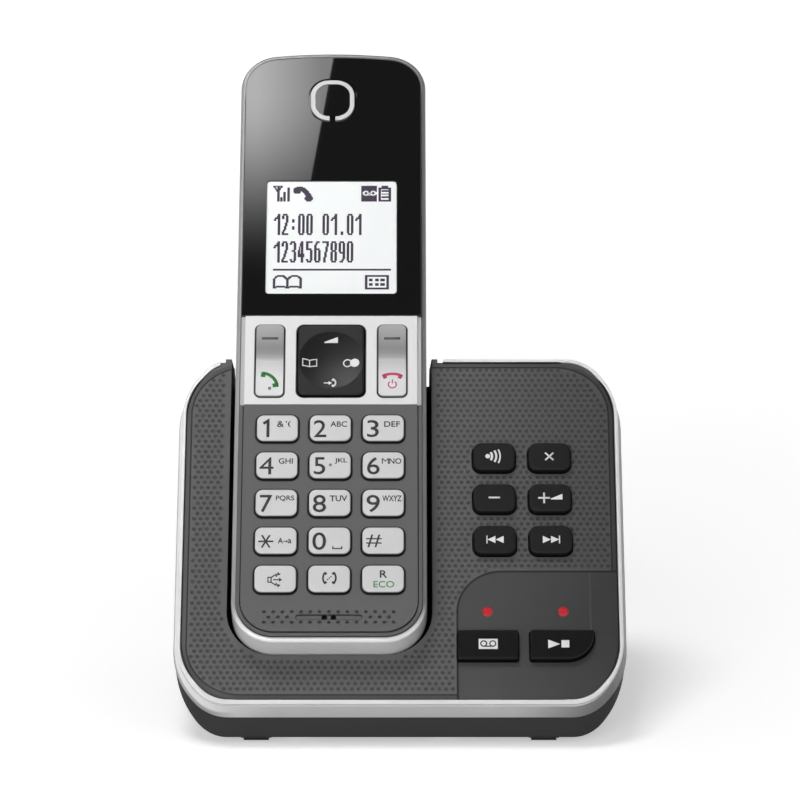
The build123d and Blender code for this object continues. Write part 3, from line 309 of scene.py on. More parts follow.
dimples = {"across": 1.645, "rows": 1.44, "first": (0.62, -0.31), "radius": 0.52, "soft": 0.24, "depth": 0.25,
           "shade": 0.55, "edgeMargin": 1.75, "wellMargin": 1.1, "panelMargin": 0.75, "keyMargin": 0.3}
coverEdge = {"ledge": 1.15, "drop": 0.6, "line": 0.25, "lineFade": (1, 0, 0.1, 0.3), "front": 0.5,
             "frontFade": (1, 0, 4, 18), "seam": (0.4, 1, 0.15, 0.4), "walls": (0.12, 1, -1.1, -0.45)}
coverLook = {"colour": (0.112, 0.112, 0.114), "roughness": 0.5, "shine": 0.3, "grain": 0.22, "depth": 0.006,
             "mottle": 0.03, "across": (1, 0.55, 16, 53)}
coverShape = {"centre": (0, 47.5), "half": (53.6, 46.2), "radius": 14.5}
wellShape = {"centre": (handsetMiddle, 111.4), "half": (25.35, 98.5), "radius": 11.85}
panelShape = {"centre": (114.1, -64.4), "half": (100, 100), "radius": 11}
softKeys = {"centre": (30.435, 55.1), "pitch": (13.87, 11.5), "half": (5.6, 4.125), "radius": 2.5}


def nearestDimple(tree, flat):
    # distance to the nearest dimple, and where that dimple is; two square grids make the staggered one
    cell = (dimples["across"], 2 * dimples["rows"], 1)
    scaled = vectorCalc(tree, "DIVIDE", vectorCalc(tree, "SUBTRACT", flat, (*dimples["first"], 0)), cell)
    offsets, lengths = [], []
    for shift in (0, 0.5):
        part = vectorCalc(tree, "FRACTION", vectorCalc(tree, "ADD", scaled, (shift, shift, 0)))
        part = vectorCalc(tree, "SUBTRACT", part, (0.5, 0.5, 0))
        part = vectorCalc(tree, "MULTIPLY", part, (cell[0], cell[1], 0))
        offsets.append(part)
        lengths.append(vectorCalc(tree, "LENGTH", part))
    isSecond = calc(tree, "LESS_THAN", lengths[1], lengths[0])
    between = addNode(tree, "ShaderNodeVectorMath", {0: vectorCalc(tree, "SUBTRACT", offsets[1], offsets[0]),
                                                     "Scale": isSecond}, operation="SCALE").outputs["Vector"]
    dot = vectorCalc(tree, "SUBTRACT", flat, vectorCalc(tree, "ADD", offsets[0], between))
    return calc(tree, "MINIMUM", *lengths), dot


def dimpleRoom(tree, dot):
    # above 0 where a dimple is far enough from the edge, the cradle, the plate and the keys
    inEdge = calc(tree, "MULTIPLY", toShape(tree, dot, coverShape), -1)
    room = calc(tree, "SUBTRACT", inEdge, dimples["edgeMargin"])
    folded = awayFrom(tree, dot, softKeys["centre"])  # six keys folded onto one
    folded = awayFrom(tree, folded, (0, softKeys["pitch"][1] / 2))
    folded = awayFrom(tree, folded, (softKeys["pitch"][0] / 2, softKeys["pitch"][1] / 2))
    gaps = {"wellMargin": toShape(tree, dot, wellShape), "panelMargin": toShape(tree, dot, panelShape),
            "keyMargin": roundedBox(tree, folded, softKeys["half"], softKeys["radius"])}
    for margin, gap in gaps.items():
        room = calc(tree, "MINIMUM", room, calc(tree, "SUBTRACT", gap, dimples[margin]))
    return room


def dimpledCover():
    material, tree, shader, place = moulded("coverDimples", coverLook)
    face = faceCoordinates(tree, place)
    flat = flattened(tree, face)
    reach, dot = nearestDimple(tree, flat)
    low, high = dimples["radius"] - dimples["soft"], dimples["radius"] + dimples["soft"] / 3
    dent = calc(tree, "MULTIPLY", remap(tree, reach, 1, 0, low, high, True),
                calc(tree, "GREATER_THAN", dimpleRoom(tree, dot), 0))
    # a narrow ledge falls away all round, and a fine line of painted shade marks the groove where it starts
    edge = toShape(tree, flat, coverShape)
    ledge = remap(tree, edge, 0, 1, -coverEdge["ledge"], 0)
    toLine = calc(tree, "ABSOLUTE", calc(tree, "ADD", edge, coverEdge["ledge"]))
    # the ledge lies in shade along the front edge
    front = calc(tree, "MULTIPLY", remap(tree, edge, 0, 1, -coverEdge["ledge"], 0.1 - coverEdge["ledge"]),
                 remap(tree, alongAxis(tree, flat, "Y"), *coverEdge["frontFade"], True))
    # painted shade in the dimples
    shaded(tree, shader, remap(tree, dent, 1, dimples["shade"]))
    # painted shade in the fine groove
    shaded(tree, shader, remap(tree, remap(tree, toLine, *coverEdge["lineFade"], True), 1, coverEdge["line"]))
    shaded(tree, shader, remap(tree, front, 1, coverEdge["front"]))
    # painted shade in the seam round the control panel
    shadeAlong(tree, shader, toShape(tree, flat, panelShape), coverEdge["seam"])
    # painted shade: the cover darkens towards its right, away from the light
    shadeAlong(tree, shader, alongAxis(tree, flat, "X"), coverLook["across"])
    # painted shade on the walls below the face
    shaded(tree, shader, over(tree, face, coverEdge["walls"]))
    grain = shader.inputs["Normal"].links[0].from_socket
    dropped = bump(tree, calc(tree, "SUBTRACT", 1, ledge), coverEdge["drop"], grain)
    dented = bump(tree, calc(tree, "SUBTRACT", 1, dent), dimples["depth"], dropped)
    tree.links.new(dented, shader.inputs["Normal"])
    return material


panelLook = {"colour": (0.06, 0.06, 0.061), "roughness": 0.36, "shine": 0.35, "grain": 0.15, "depth": 0.002,
             "mottle": 0.02, "across": (1.05, 0.6, 20, 53), "up": (1.2, 1, 4, 20),
             "walls": (0.12, 1, -0.9, -0.45), "seam": (1, 0.2, -0.4, -0.1)}
panelStep = {"across": (0, 1, 46.61, 47.11), "up": (0, 1, 18.6, 19.6), "depth": 0.06}


def smoothPanel():
    # satin plate with one shallow step beside the lamps, painted shade along the seam round it and on its
    # walls, and painted light that is brighter low down and darker to the right
    material, tree, shader, place = moulded("panelSatin", panelLook)
    face = faceCoordinates(tree, place)
    across, up = alongAxis(tree, face, "X"), alongAxis(tree, face, "Y")
    step = remap(tree, across, *panelStep["across"], True)
    step = calc(tree, "MULTIPLY", step, remap(tree, up, *panelStep["up"]))
    # painted shade along the seam
    shadeAlong(tree, shader, toShape(tree, flattened(tree, face), panelShape), panelLook["seam"])
    # painted light: darker towards the right
    shadeAlong(tree, shader, across, panelLook["across"])
    # painted light: lighter towards the bottom
    shadeAlong(tree, shader, up, panelLook["up"])
    # painted shade on the walls below the face
    shaded(tree, shader, over(tree, face, panelLook["walls"]))
    grain = shader.inputs["Normal"].links[0].from_socket
    tree.links.new(bump(tree, step, panelStep["depth"], grain), shader.inputs["Normal"])
    return material


trimLook = {"colour": (0.83, 0.83, 0.83), "roughness": 0.34, "metal": 0.18, "grain": 0.12, "depth": 0.001,
            "mottle": 0.03, "under": (1, 0, -0.54, -0.42), "over": (0, 1, -1.85, -1.73), "groove": 0.38,
            "inside": (0.08, 1, 0.3, 0.42)}
trimBand = {"from": (1, 0, -1.95, -1.85), "flare": 0.65, "left": (1.6, 1, -54, -30), "right": (1, 0.18, 28, 52),
            "outer": (0.4, 1, -5.4, -4.2), "corner": (0, 1, -52, -40)}


def trimPaint():
    # silver paint, with painted shade in the groove under the bead and on the bead's inner wall
    material, tree, shader, place = moulded("trimSilver", trimLook)
    face = faceCoordinates(tree, place)
    height, across = alongAxis(tree, face, "Z"), alongAxis(tree, face, "X")
    under, top = remap(tree, height, *trimLook["under"]), remap(tree, height, *trimLook["over"])
    groove = calc(tree, "MULTIPLY", under, top)
    shaded(tree, shader, remap(tree, groove, 1, trimLook["groove"]))
    shadeAlong(tree, shader, toShape(tree, flattened(tree, face), coverShape), trimLook["inside"])
    # painted light: the flared band is painted brightest at its left, where the light comes from, and dark at
    # its right
    outer, corner = remap(tree, height, *trimBand["outer"]), remap(tree, across, *trimBand["corner"])
    side = calc(tree, "MULTIPLY", calc(tree, "MAXIMUM", outer, corner), trimBand["flare"])
    for end in ("left", "right"):
        side = calc(tree, "MULTIPLY", side, remap(tree, across, *trimBand[end]))
    isBand = remap(tree, height, *trimBand["from"])
    shaded(tree, shader, addNode(tree, "ShaderNodeMix", {"Factor": isBand, "A": 1.0, "B": side}).outputs[0])
    return material


frameLook = {"colour": (0.85, 0.85, 0.85), "roughness": 0.34, "metal": 0.15, "grain": 0.12, "depth": 0.001,
             "mottle": 0.03, "across": (0.4, 0.24, -41, 7), "foot": (1, 0, 16, 24),
             "lip": (0.15, 1, -1.1, -0.95), "crown": (0, 1, 166, 170)}
frameShape = {"centre": (handsetMiddle, 113.4), "half": (24, 100), "radius": 10.5}


def framePaint():
    # silver paint with painted light: bright at the foot of the handset and painted darker up its sides, where
    # less light falls
    material, tree, shader, place = moulded("frameSilver", frameLook)
    face = faceCoordinates(tree, place)
    up = alongAxis(tree, face, "Y")
    side = remap(tree, alongAxis(tree, face, "X"), *frameLook["across"])
    foot = remap(tree, up, *frameLook["foot"], True)
    shaded(tree, shader, addNode(tree, "ShaderNodeMix", {"Factor": foot, "A": side, "B": 1.0}).outputs[0])
    # painted shade along the inner edge, up to the crown
    lip = remap(tree, toShape(tree, flattened(tree, face), frameShape), *frameLook["lip"])
    shaded(tree, shader, calc(tree, "MAXIMUM", lip, remap(tree, up, *frameLook["crown"])))
    return material


satin = {"grain": 0.12, "depth": 0.001, "mottle": 0.02}
frontLook = {"colour": (0.114, 0.114, 0.115), "roughness": 0.5, "shine": 0.35, "grain": 0.12, "depth": 0.003,
             "mottle": 0.02, "crown": (0, 0.7, 165, 170), "walls": (0.08, 1, 7.3, 7.6)}
plateLook = {**satin, "colour": (0.76, 0.76, 0.76), "roughness": 0.42, "metal": 0.12,
             "walls": (0.1, 1, 7.9, 8.02), "step": (0.62, 1, 7.9, 8.05), "seam": (1, 0.12, 22.62, 22.77)}
plateWell = {"centre": (handsetMiddle, 90.4), "half": (20.6, 12.6), "radius": 1}
capLook = {**satin, "colour": (0.64, 0.64, 0.64), "roughness": 0.42, "metal": 0.12,
           "walls": (0.05, 1, 8.45, 8.8)}
callLook = {**satin, "colour": (0.62, 0.62, 0.62), "roughness": 0.42, "metal": 0.15,
            "walls": (0.06, 1, 7.95, 8.1),
            "bright": ((-5.5, 1.06), (-0.3, 0.82), (0.3, 0.87), (1.0, 0.64), (2.2, 0.48), (3.6, 0.42),
                       (callKeys["half"], 0.7))}
keyLattice = {"middle": (handsetMiddle, 50.1), "half": (5.45, 3.925), "radius": 2.1, "lip": (0.1, 1, 0.1, 0.3)}
callLattice = {"middle": (handsetMiddle, callKeys["middle"]), "nav": (8.7, callKeys["half"]), "navRadius": 1.9,
               "call": (3.75, callKeys["half"]), "callRadius": 1.5, "lip": (0.06, 1, 0.08, 0.25)}
micSlot = {"centre": (handsetMiddle, 19.4), "half": (8.1, 0.65), "radius": 0.65, "lip": (0.35, 1, 0.08, 0.2)}


def paintWithShadedWalls(name, look):
    # paint with painted shade a little way down the sides, where the gaps round the keys lie in shadow
    material, tree, shader, place = moulded(name, look)
    face = faceCoordinates(tree, place)
    shaded(tree, shader, over(tree, face, look["walls"]))
    return material, tree, shader, face


def frontPaint():
    # painted shade on the sunk walls, lifted on the low rim over the display window so that it is grey as well
    material, tree, shader, place = moulded("frontGrey", frontLook)
    face = faceCoordinates(tree, place)
    crown = remap(tree, alongAxis(tree, face, "Y"), *frontLook["crown"])
    shaded(tree, shader, calc(tree, "MAXIMUM", over(tree, face, frontLook["walls"]), crown))
    # painted shade round the fifteen key openings, folded onto one, and round the slot below them
    flat = flattened(tree, face)
    away = awayFrom(tree, flat, keyLattice["middle"])
    cell = vectorCalc(tree, "ADD", vectorCalc(tree, "DIVIDE", away, (*keyPitch, 1)), (0.5, 0.5, 0))
    cell = vectorCalc(tree, "MINIMUM", vectorCalc(tree, "FLOOR", cell), (1, 2, 0))
    cell = vectorCalc(tree, "MULTIPLY", cell, (*keyPitch, 0))
    local = vectorCalc(tree, "ABSOLUTE", vectorCalc(tree, "SUBTRACT", away, cell))
    opening = roundedBox(tree, local, keyLattice["half"], keyLattice["radius"])
    shadeAlong(tree, shader, opening, keyLattice["lip"])
    shadeAlong(tree, shader, calc(tree, "ABSOLUTE", toShape(tree, flat, micSlot)), micSlot["lip"])
    return material


def callPaint():
    # satin metal with a painted reflection that darkens towards the crease in the upper half of the key, as the
    # valley mirrors the light
    material, tree, shader, face = paintWithShadedWalls("callSilver", callLook)
    half = callKeys["half"]
    rise = calc(tree, "SUBTRACT", alongAxis(tree, face, "Y"), callKeys["middle"])
    ramp = addNode(tree, "ShaderNodeValToRGB", {0: remap(tree, rise, 0, 1, -half, half)})
    stops = ramp.color_ramp.elements
    for index, (place, bright) in enumerate(callLook["bright"]):
        stop = stops[index] if index < 2 else stops.new(1)
        stop.position = (place + half) / (2 * half)
        stop.color = (bright, bright, bright, 1)
    shaded(tree, shader, ramp.outputs["Color"])
    return material


def platePaint():
    material, tree, shader, place = moulded("plateSilver", plateLook)
    face = faceCoordinates(tree, place)
    flat = flattened(tree, face)
    # painted shade on the walls of the openings in the plate
    inside = calc(tree, "LESS_THAN", toShape(tree, flat, plateWell), 0)
    walls = calc(tree, "MULTIPLY", inside, calc(tree, "SUBTRACT", 1, over(tree, face, plateLook["walls"])))
    shaded(tree, shader, calc(tree, "SUBTRACT", 1, walls))
    # the outer step is painted darker, with painted shade along the seam beside the frame
    shaded(tree, shader, over(tree, face, plateLook["step"]))
    shadeAlong(tree, shader, alongAxis(tree, awayFrom(tree, flat, plateWell["centre"]), "X"), plateLook["seam"])
    # painted shade round the openings of the navigation and call keys
    away = awayFrom(tree, flat, callLattice["middle"])
    nav = roundedBox(tree, away, callLattice["nav"], callLattice["navRadius"])
    away = awayFrom(tree, away, (callKeys["offset"], 0))
    call = roundedBox(tree, away, callLattice["call"], callLattice["callRadius"])
    shadeAlong(tree, shader, calc(tree, "MINIMUM", nav, call), callLattice["lip"])
    return material


steelLook = {"roughness": 0.3, "brush": 0.12, "stretch": 0.06, "value": (0.88, 1.08), "depth": 0.004}


def brushed(name, colour):
    # drawn metal: streaks that run one way
    material, tree, shader, place = startFinish(name, {"Metallic": 0.95})
    drawn = addNode(tree, "ShaderNodeMapping", {"Vector": place, "Scale": (steelLook["stretch"], 1, 1)})
    streaks = noise(tree, drawn.outputs["Vector"], steelLook["brush"], 3.0)
    value = remap(tree, streaks, *steelLook["value"], *noiseSpan)
    tree.links.new(tint(tree, colour, value), shader.inputs["Base Color"])
    rough = steelLook["roughness"]
    tree.links.new(remap(tree, streaks, rough * 0.8, rough * 1.2, *noiseSpan), shader.inputs["Roughness"])
    tree.links.new(bump(tree, streaks, steelLook["depth"]), shader.inputs["Normal"])
    return material


def blended(tree, part, below, above):
    # one colour laid over another one; these numbers are the colour sockets of the node
    made = addNode(tree, "ShaderNodeMix", {0: part, 6: below, 7: above}, data_type="RGBA")
    return made.outputs[2]


boardLook = {"mask": (0.012, 0.085, 0.035, 1), "track": (0.03, 0.16, 0.06, 1), "pad": (0.62, 0.5, 0.22, 1),
             "pitch": 1.6, "trackWidth": 0.06, "trackEdge": 0.2, "fieldWidth": 2.6, "fieldHeight": 0.8,
             "padScale": 0.28, "padScatter": 0.35, "padEdge": (1, 0, 0.11, 0.13), "shine": 0.9, "raise": 0.03,
             "trackRaise": 0.6}


def circuitBoard():
    # green mask over copper tracks, with rows of bare pads
    material, tree, shader, place = startFinish("boardMask", {"Roughness": 0.32, "Coat Weight": 0.4})
    flat = flattened(tree, faceCoordinates(tree, place))
    tracks = addNode(tree, "ShaderNodeTexBrick",
                     {"Vector": flat, "Scale": 1 / boardLook["pitch"], "Color1": boardLook["mask"],
                      "Color2": boardLook["mask"], "Mortar": boardLook["track"],
                      "Mortar Size": boardLook["trackWidth"], "Mortar Smooth": boardLook["trackEdge"],
                      "Brick Width": boardLook["fieldWidth"], "Row Height": boardLook["fieldHeight"]})
    spots = {"Vector": flat, "Scale": boardLook["padScale"], "Randomness": boardLook["padScatter"]}
    dots = addNode(tree, "ShaderNodeTexVoronoi", spots, voronoi_dimensions="2D")
    pads = remap(tree, dots.outputs["Distance"], *boardLook["padEdge"])
    colour = blended(tree, pads, tracks.outputs["Color"], boardLook["pad"])
    tree.links.new(colour, shader.inputs["Base Color"])
    tree.links.new(calc(tree, "MULTIPLY", pads, boardLook["shine"]), shader.inputs["Metallic"])
    raised = calc(tree, "ADD", calc(tree, "MULTIPLY", tracks.outputs["Fac"], boardLook["trackRaise"]), pads)
    tree.links.new(bump(tree, raised, boardLook["raise"]), shader.inputs["Normal"])
    return material


glassLook = {"colour": (0.8, 0.82, 0.82), "glow": 0.2, "line": (0.95, 1.0, 0.04, 0.12), "cloud": 14.0,
             "haze": (0.985, 1.01)}


def displayGlass():
    # pale cells behind a fine grid, with a faint painted glow that brightens them
    material, tree, shader, place = startFinish("displayCells", {"Roughness": 0.25, "Coat Weight": 0.3})
    cell = (displayCell, displayCell, 1)
    part = vectorCalc(tree, "FRACTION", vectorCalc(tree, "DIVIDE", faceCoordinates(tree, place), cell))
    edge = calc(tree, "MINIMUM", alongAxis(tree, part, "X"), alongAxis(tree, part, "Y"))
    cells = remap(tree, edge, *glassLook["line"])
    haze = remap(tree, noise(tree, place, glassLook["cloud"]), *glassLook["haze"], *noiseSpan)
    colour = tint(tree, glassLook["colour"], calc(tree, "MULTIPLY", cells, haze))
    tree.links.new(colour, shader.inputs["Base Color"])
    tree.links.new(colour, shader.inputs["Emission Color"])
    shader.inputs["Emission Strength"].default_value = glassLook["glow"]
    return material


cellLook = {"sleeve": (0.06, 0.26, 0.1), "band": (0.72, 0.73, 0.72, 1), "start": 61, "end": 66}


def cellSleeve():
    # printed sleeve with a pale band near one end
    look = {"colour": cellLook["sleeve"], "roughness": 0.3, "coat": 0.3}
    material, tree, shader, place = moulded("cellSleeve", look)
    up = alongAxis(tree, faceCoordinates(tree, place), "Y")
    band = calc(tree, "MULTIPLY", calc(tree, "GREATER_THAN", up, cellLook["start"]),
                calc(tree, "LESS_THAN", up, cellLook["end"]))
    base = shader.inputs["Base Color"].links[0].from_socket
    tree.links.new(blended(tree, band, base, cellLook["band"]), shader.inputs["Base Color"])
    return material


plasticLooks = {
    "housingGrain": {"colour": (0.017, 0.017, 0.0175), "roughness": 0.5, "shine": 0.3, "grain": 0.35,
                     "depth": 0.012},
    "cradleBlack": {"colour": (0.01, 0.01, 0.011), "roughness": 0.55, "shine": 0.25, "grain": 0.35,
                    "depth": 0.012},
    "matRubber": {"colour": (0.24, 0.24, 0.25), "roughness": 0.75, "grain": 0.5, "depth": 0.01},
    "socketBlack": {"colour": (0.012, 0.012, 0.012), "roughness": 0.42, "shine": 0.35, "grain": 0.2,
                    "depth": 0.004},
    "footRubber": {"colour": (0.02, 0.02, 0.02), "roughness": 0.85, "shine": 0.3, "grain": 0.4, "depth": 0.02},
    "lampRed": {"colour": (0.57, 0.021, 0.027), "roughness": 0.22, "coat": 0.3, "grain": 0.5, "depth": 0.004},
    "softKeyBlack": {"colour": (0.005, 0.005, 0.0053), "roughness": 0.45, "shine": 0.22, "grain": 0.2,
                     "depth": 0.004},
    "panelKeyBlack": {"colour": (0.004, 0.004, 0.0045), "roughness": 0.3, "shine": 0.25, "grain": 0.15,
                      "depth": 0.002},
    "backBlack": {"colour": (0.014, 0.014, 0.015), "roughness": 0.5, "shine": 0.3, "grain": 0.35,
                  "depth": 0.014},
    "windowBlack": {"colour": (0.004, 0.004, 0.0045), "roughness": 0.012, "grain": 4.0, "depth": 0.0,
                    "blotch": 20},
    "ringSilver": {"colour": (0.42, 0.42, 0.42), "roughness": 0.3, "metal": 0.35, "grain": 0.3, "depth": 0.001},
    "navBlack": {"colour": (0.006, 0.006, 0.0063), "roughness": 0.38, "shine": 0.3, "grain": 0.2,
                 "depth": 0.003},
}
finishes = {name: moulded(name, look)[0] for name, look in plasticLooks.items()}
finishes.update(coverDimples=dimpledCover(), panelSatin=smoothPanel(), trimSilver=trimPaint(),
                frameSilver=framePaint(), plateSilver=platePaint(), frontGrey=frontPaint(),
                keySilver=paintWithShadedWalls("keySilver", capLook)[0], callSilver=callPaint(), boardMask=circuitBoard(),
                displayCells=displayGlass(), cellSleeve=cellSleeve())
metalColours = {"speakerSteel": (0.36, 0.36, 0.37), "contactNickel": (0.74, 0.72, 0.68),
                "screwSteel": (0.55, 0.55, 0.57)}
for name, colour in metalColours.items():
    finishes[name] = brushed(name, colour)

numberKeys = ["key_" + name for name in "1 2 3 4 5 6 7 8 9 star 0 hash speaker intercom recall".split()]
softKeyNames = [name + "_key" for name in "locator erase volume_down volume_up previous next".split()]
nodeFinishes = {
    "coverDimples": ["base_top_cover"], "panelSatin": ["control_panel"], "trimSilver": ["trim_ring"],
    "housingGrain": ["base_lower_housing"], "cradleBlack": ["cradle_insert"], "footRubber": ["rubber_feet"],
    "boardMask": ["base_circuit_board", "handset_circuit_board"],
    "socketBlack": ["dc_jack", "line_jack", "handset_microphone"], "lampRed": ["answer_lamp", "message_lamp"],
    "matRubber": ["base_key_mat", "handset_key_mat", "nav_pivot_pad"],
    "speakerSteel": ["base_speaker", "earpiece_receiver", "handset_loudspeaker"],
    "contactNickel": ["base_charge_contacts", "handset_charge_contacts", "battery_contacts"],
    "screwSteel": ["base_screws", "handset_screws"], "panelKeyBlack": ["answer_on_key", "play_stop_key"],
    "softKeyBlack": softKeyNames, "frontGrey": ["handset_front_case"], "frameSilver": ["handset_side_frame"],
    "windowBlack": ["display_window"], "backBlack": ["handset_back_case", "battery_cover"],
    "plateSilver": ["navigation_panel"], "displayCells": ["lcd_module"], "ringSilver": ["earpiece_ring"],
    "cellSleeve": ["battery_cells"], "navBlack": ["nav_key"], "callSilver": ["talk_key", "off_key"],
    "keySilver": numberKeys,
}
for finish, names in nodeFinishes.items():
    for name in names:
        for place in nodes[name].material_slots:
            place.material = finishes[finish]
print("finishes done")


# Marks on the keys, drawn flat in millimetres about the middle of each key.
inkColours = {"inkDark": (0.024, 0.024, 0.0255), "inkWhite": (0.8, 0.8, 0.8), "inkBlack": (0.01, 0.01, 0.011),
              "inkGreen": (0.012, 0.2, 0.025), "inkEco": (0.05, 0.25, 0.06), "inkPink": (0.62, 0.055, 0.15),
              "inkGrey": (0.1, 0.1, 0.1), "keyNib": (0.22, 0.22, 0.22), "inkDisplay": (0.028, 0.012, 0.042)}
inkLook = {"roughness": 0.5, "grain": 0.12, "depth": 0.002, "mottle": 0.04}
inks = {name: moulded(name, {**inkLook, "colour": colour})[0] for name, colour in inkColours.items()}


def toMesh(piece):
    alone(piece)
    bpy.ops.object.convert(target="MESH")
    return bpy.context.object


def thicken(piece, thickness, even=False):
    # the piece has to be the active one
    wall = piece.modifiers.new("thickness", "SOLIDIFY")
    wall.thickness = thickness * mm
    wall.offset = 0
    wall.use_even_offset = even
    bpy.ops.object.modifier_apply(modifier=wall.name)


def outline(points, closed, filled):
    # a flat curve through the points, as a solid sheet or as an upright ribbon
    curve = bpy.data.curves.new("mark", "CURVE")
    curve.dimensions = "2D"
    curve.fill_mode = "BOTH" if filled else "NONE"
    curve.extrude = markThickness * mm / 2
    run = curve.splines.new("POLY")
    run.points.add(len(points) - 1)
    for point, (x, y) in zip(run.points, points):
        point.co = (x * mm, y * mm, 0, 1)
    run.use_cyclic_u = closed
    made = bpy.data.objects.new("mark", curve)
    scene.collection.objects.link(made)
    return toMesh(made)


def patch(*points):
    return outline(points, True, True)


def stroke(width, *points, closed=False):
    made = outline(points, closed, False)
    thicken(made, width, True)
    return made


def arc(width, centre, radius, start, end, steps=20):
    turns = [radians(start + (end - start) * step / steps) for step in range(steps + 1)]
    points = [(centre[0] + radius * cos(turn), centre[1] + radius * sin(turn)) for turn in turns]
    if abs(end - start) == 360:
        return stroke(width, *points[:-1], closed=True)
    return stroke(width, *points)


def disc(centre, radius, steps=28):
    turns = [radians(360 * step / steps) for step in range(steps)]
    return patch(*[(centre[0] + radius * cos(turn), centre[1] + radius * sin(turn)) for turn in turns])


def bar(centre, width, height, turn=0):
    dx, dy = cos(radians(turn)) * width / 2, sin(radians(turn)) * width / 2
    return stroke(height, (centre[0] - dx, centre[1] - dy), (centre[0] + dx, centre[1] + dy))


letterWeight = 0.014


def letters(text, centre, size, weight=letterWeight):
    # text is stretched to the size it has on the key; a 4 and an M close up when they are thickened
    alone(camera)
    bpy.ops.object.text_add(location=(0, 0, 0))
    made = bpy.context.object
    made.data.body = text
    made.data.size = 1
    made.data.offset = weight
    made.data.resolution_u = 4
    made = toMesh(made)
    low = [min(corner.co[axis] for corner in made.data.vertices) for axis in (0, 1)]
    high = [max(corner.co[axis] for corner in made.data.vertices) for axis in (0, 1)]
    scale = [size[axis] * mm / (high[axis] - low[axis]) for axis in (0, 1)]
    for corner in made.data.vertices:
        corner.co.x = (corner.co.x - (low[0] + high[0]) / 2) * scale[0] + centre[0] * mm
        corner.co.y = (corner.co.y - (low[1] + high[1]) / 2) * scale[1] + centre[1] * mm
        corner.co.z = 0
    thicken(made, markThickness)
    return made


def turned(pieces, angle, shift=(0, 0)):
    move = Matrix.Translation((shift[0] * mm, shift[1] * mm, 0)) @ Matrix.Rotation(radians(angle), 4, "Z")
    for piece in pieces:
        piece.data.transform(move)
    return pieces


def flatTop(height):
    return lambda across, up: height


def putOn(name, body, ink, place, top, marks):
    # joins the marks of one colour, lays them on the key's top and turns them onto the sloping face
    alone(*marks)
    if len(marks) > 1:
        bpy.ops.object.join()
    made = bpy.context.object
    made.name = made.data.name = name
    made.data.transform(Matrix.Translation((place[0] * mm, place[1] * mm, 0)))
    for corner in made.data.vertices:
        height = top(corner.co.x / mm - place[0], corner.co.y / mm - place[1])
        corner.co.z += (height + markThickness / 2) * mm
    bpy.ops.object.mode_set(mode="EDIT")
    bpy.ops.mesh.select_all(action="SELECT")
    bpy.ops.mesh.remove_doubles(threshold=weldGap)
    bpy.ops.mesh.normals_make_consistent(inside=False)
    bpy.ops.object.mode_set(mode="OBJECT")
    made.location = faceFoot
    made.rotation_euler = (faceSlope, 0, 0)
    bpy.ops.object.transform_apply(location=True, rotation=True, scale=True)
    made.data.materials.clear()
    made.data.materials.append(inks[ink])
    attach(made, body)


receiver = {"inward": 0.45, "long": 1.75, "thick": 1.35}  # end blocks, in widths of the arc


def handsetMark(radius, half, width):
    # a telephone receiver: an arc with a block turned inward at each end, its back up
    reach = radius - width * receiver["inward"]
    ends = []
    for angle in (90 + half, 90 - half):
        middle = (reach * cos(radians(angle)), reach * sin(radians(angle)))
        ends.append(bar(middle, width * receiver["long"], width * receiver["thick"], angle))
    return [arc(width, (0, 0), radius, 90 + half, 90 - half), *ends]


# number keys: middle of each mark from the middle of the key, and its size
keyTop = 8.85
firstKey = (handsetMiddle, 70.8)
digitWeight = 0.004
keyMarks = {
    "key_1": [("&", (0.75, 1.03), (1.75, 1.7), 0.01), ("'(", (2.7, 1.03), (1.3, 1.7), 0.012)],
    "key_2": [("2", (-2.58, -0.25), (3.11, 4.75), digitWeight), ("ABC", (2.08, 1.03), (4.19, 1.54))],
    "key_3": [("3", (-2.6, -0.25), (2.93, 4.75), digitWeight), ("DEF", (2.18, 1.03), (3.95, 1.54))],
    "key_4": [("4", (-2.58, -0.25), (3.53, 4.75), 0.0), ("GHI", (2.2, 1.07), (3.5, 1.54))],
    "key_5": [("5", (-2.61, -0.25), (2.85, 4.75), digitWeight), ("JKL", (2.69, 1.07), (3.09, 1.54))],
    "key_6": [("6", (-2.48, -0.25), (3.09, 4.75), digitWeight), ("M", (0.5, 1.07), (1.75, 1.54), 0.0),
              ("NO", (2.97, 1.07), (3.02, 1.54))],
    "key_7": [("7", (-2.53, -0.32), (3.09, 4.7), digitWeight), ("PQRS", (2.13, 1.1), (4.55, 1.6))],
    "key_8": [("8", (-2.55, -0.32), (3.25, 4.75), digitWeight), ("TUV", (2.15, 1.1), (4.29, 1.6))],
    "key_9": [("9", (-2.49, -0.32), (3.28, 4.75), digitWeight), ("WXYZ", (2.15, 1.1), (4.8, 1.6))],
    "key_star": [("A", (1.15, -0.12), (1.3, 1.5)), ("a", (3.4, -0.28), (0.95, 1.15))],
    "key_0": [("0", (-2.52, -0.25), (3.37, 4.75), digitWeight)],
    "key_hash": [("#", (-2.27, -0.17), (3.81, 3.43), 0.0)],
    "key_recall": [("R", (0.11, 1.2), (1.81, 2.0))],
}


def keyPlace(name):
    row, column = divmod(numberKeys.index(name), 3)
    return firstKey[0] + (column - 1) * keyPitch[0], firstKey[1] - row * keyPitch[1]


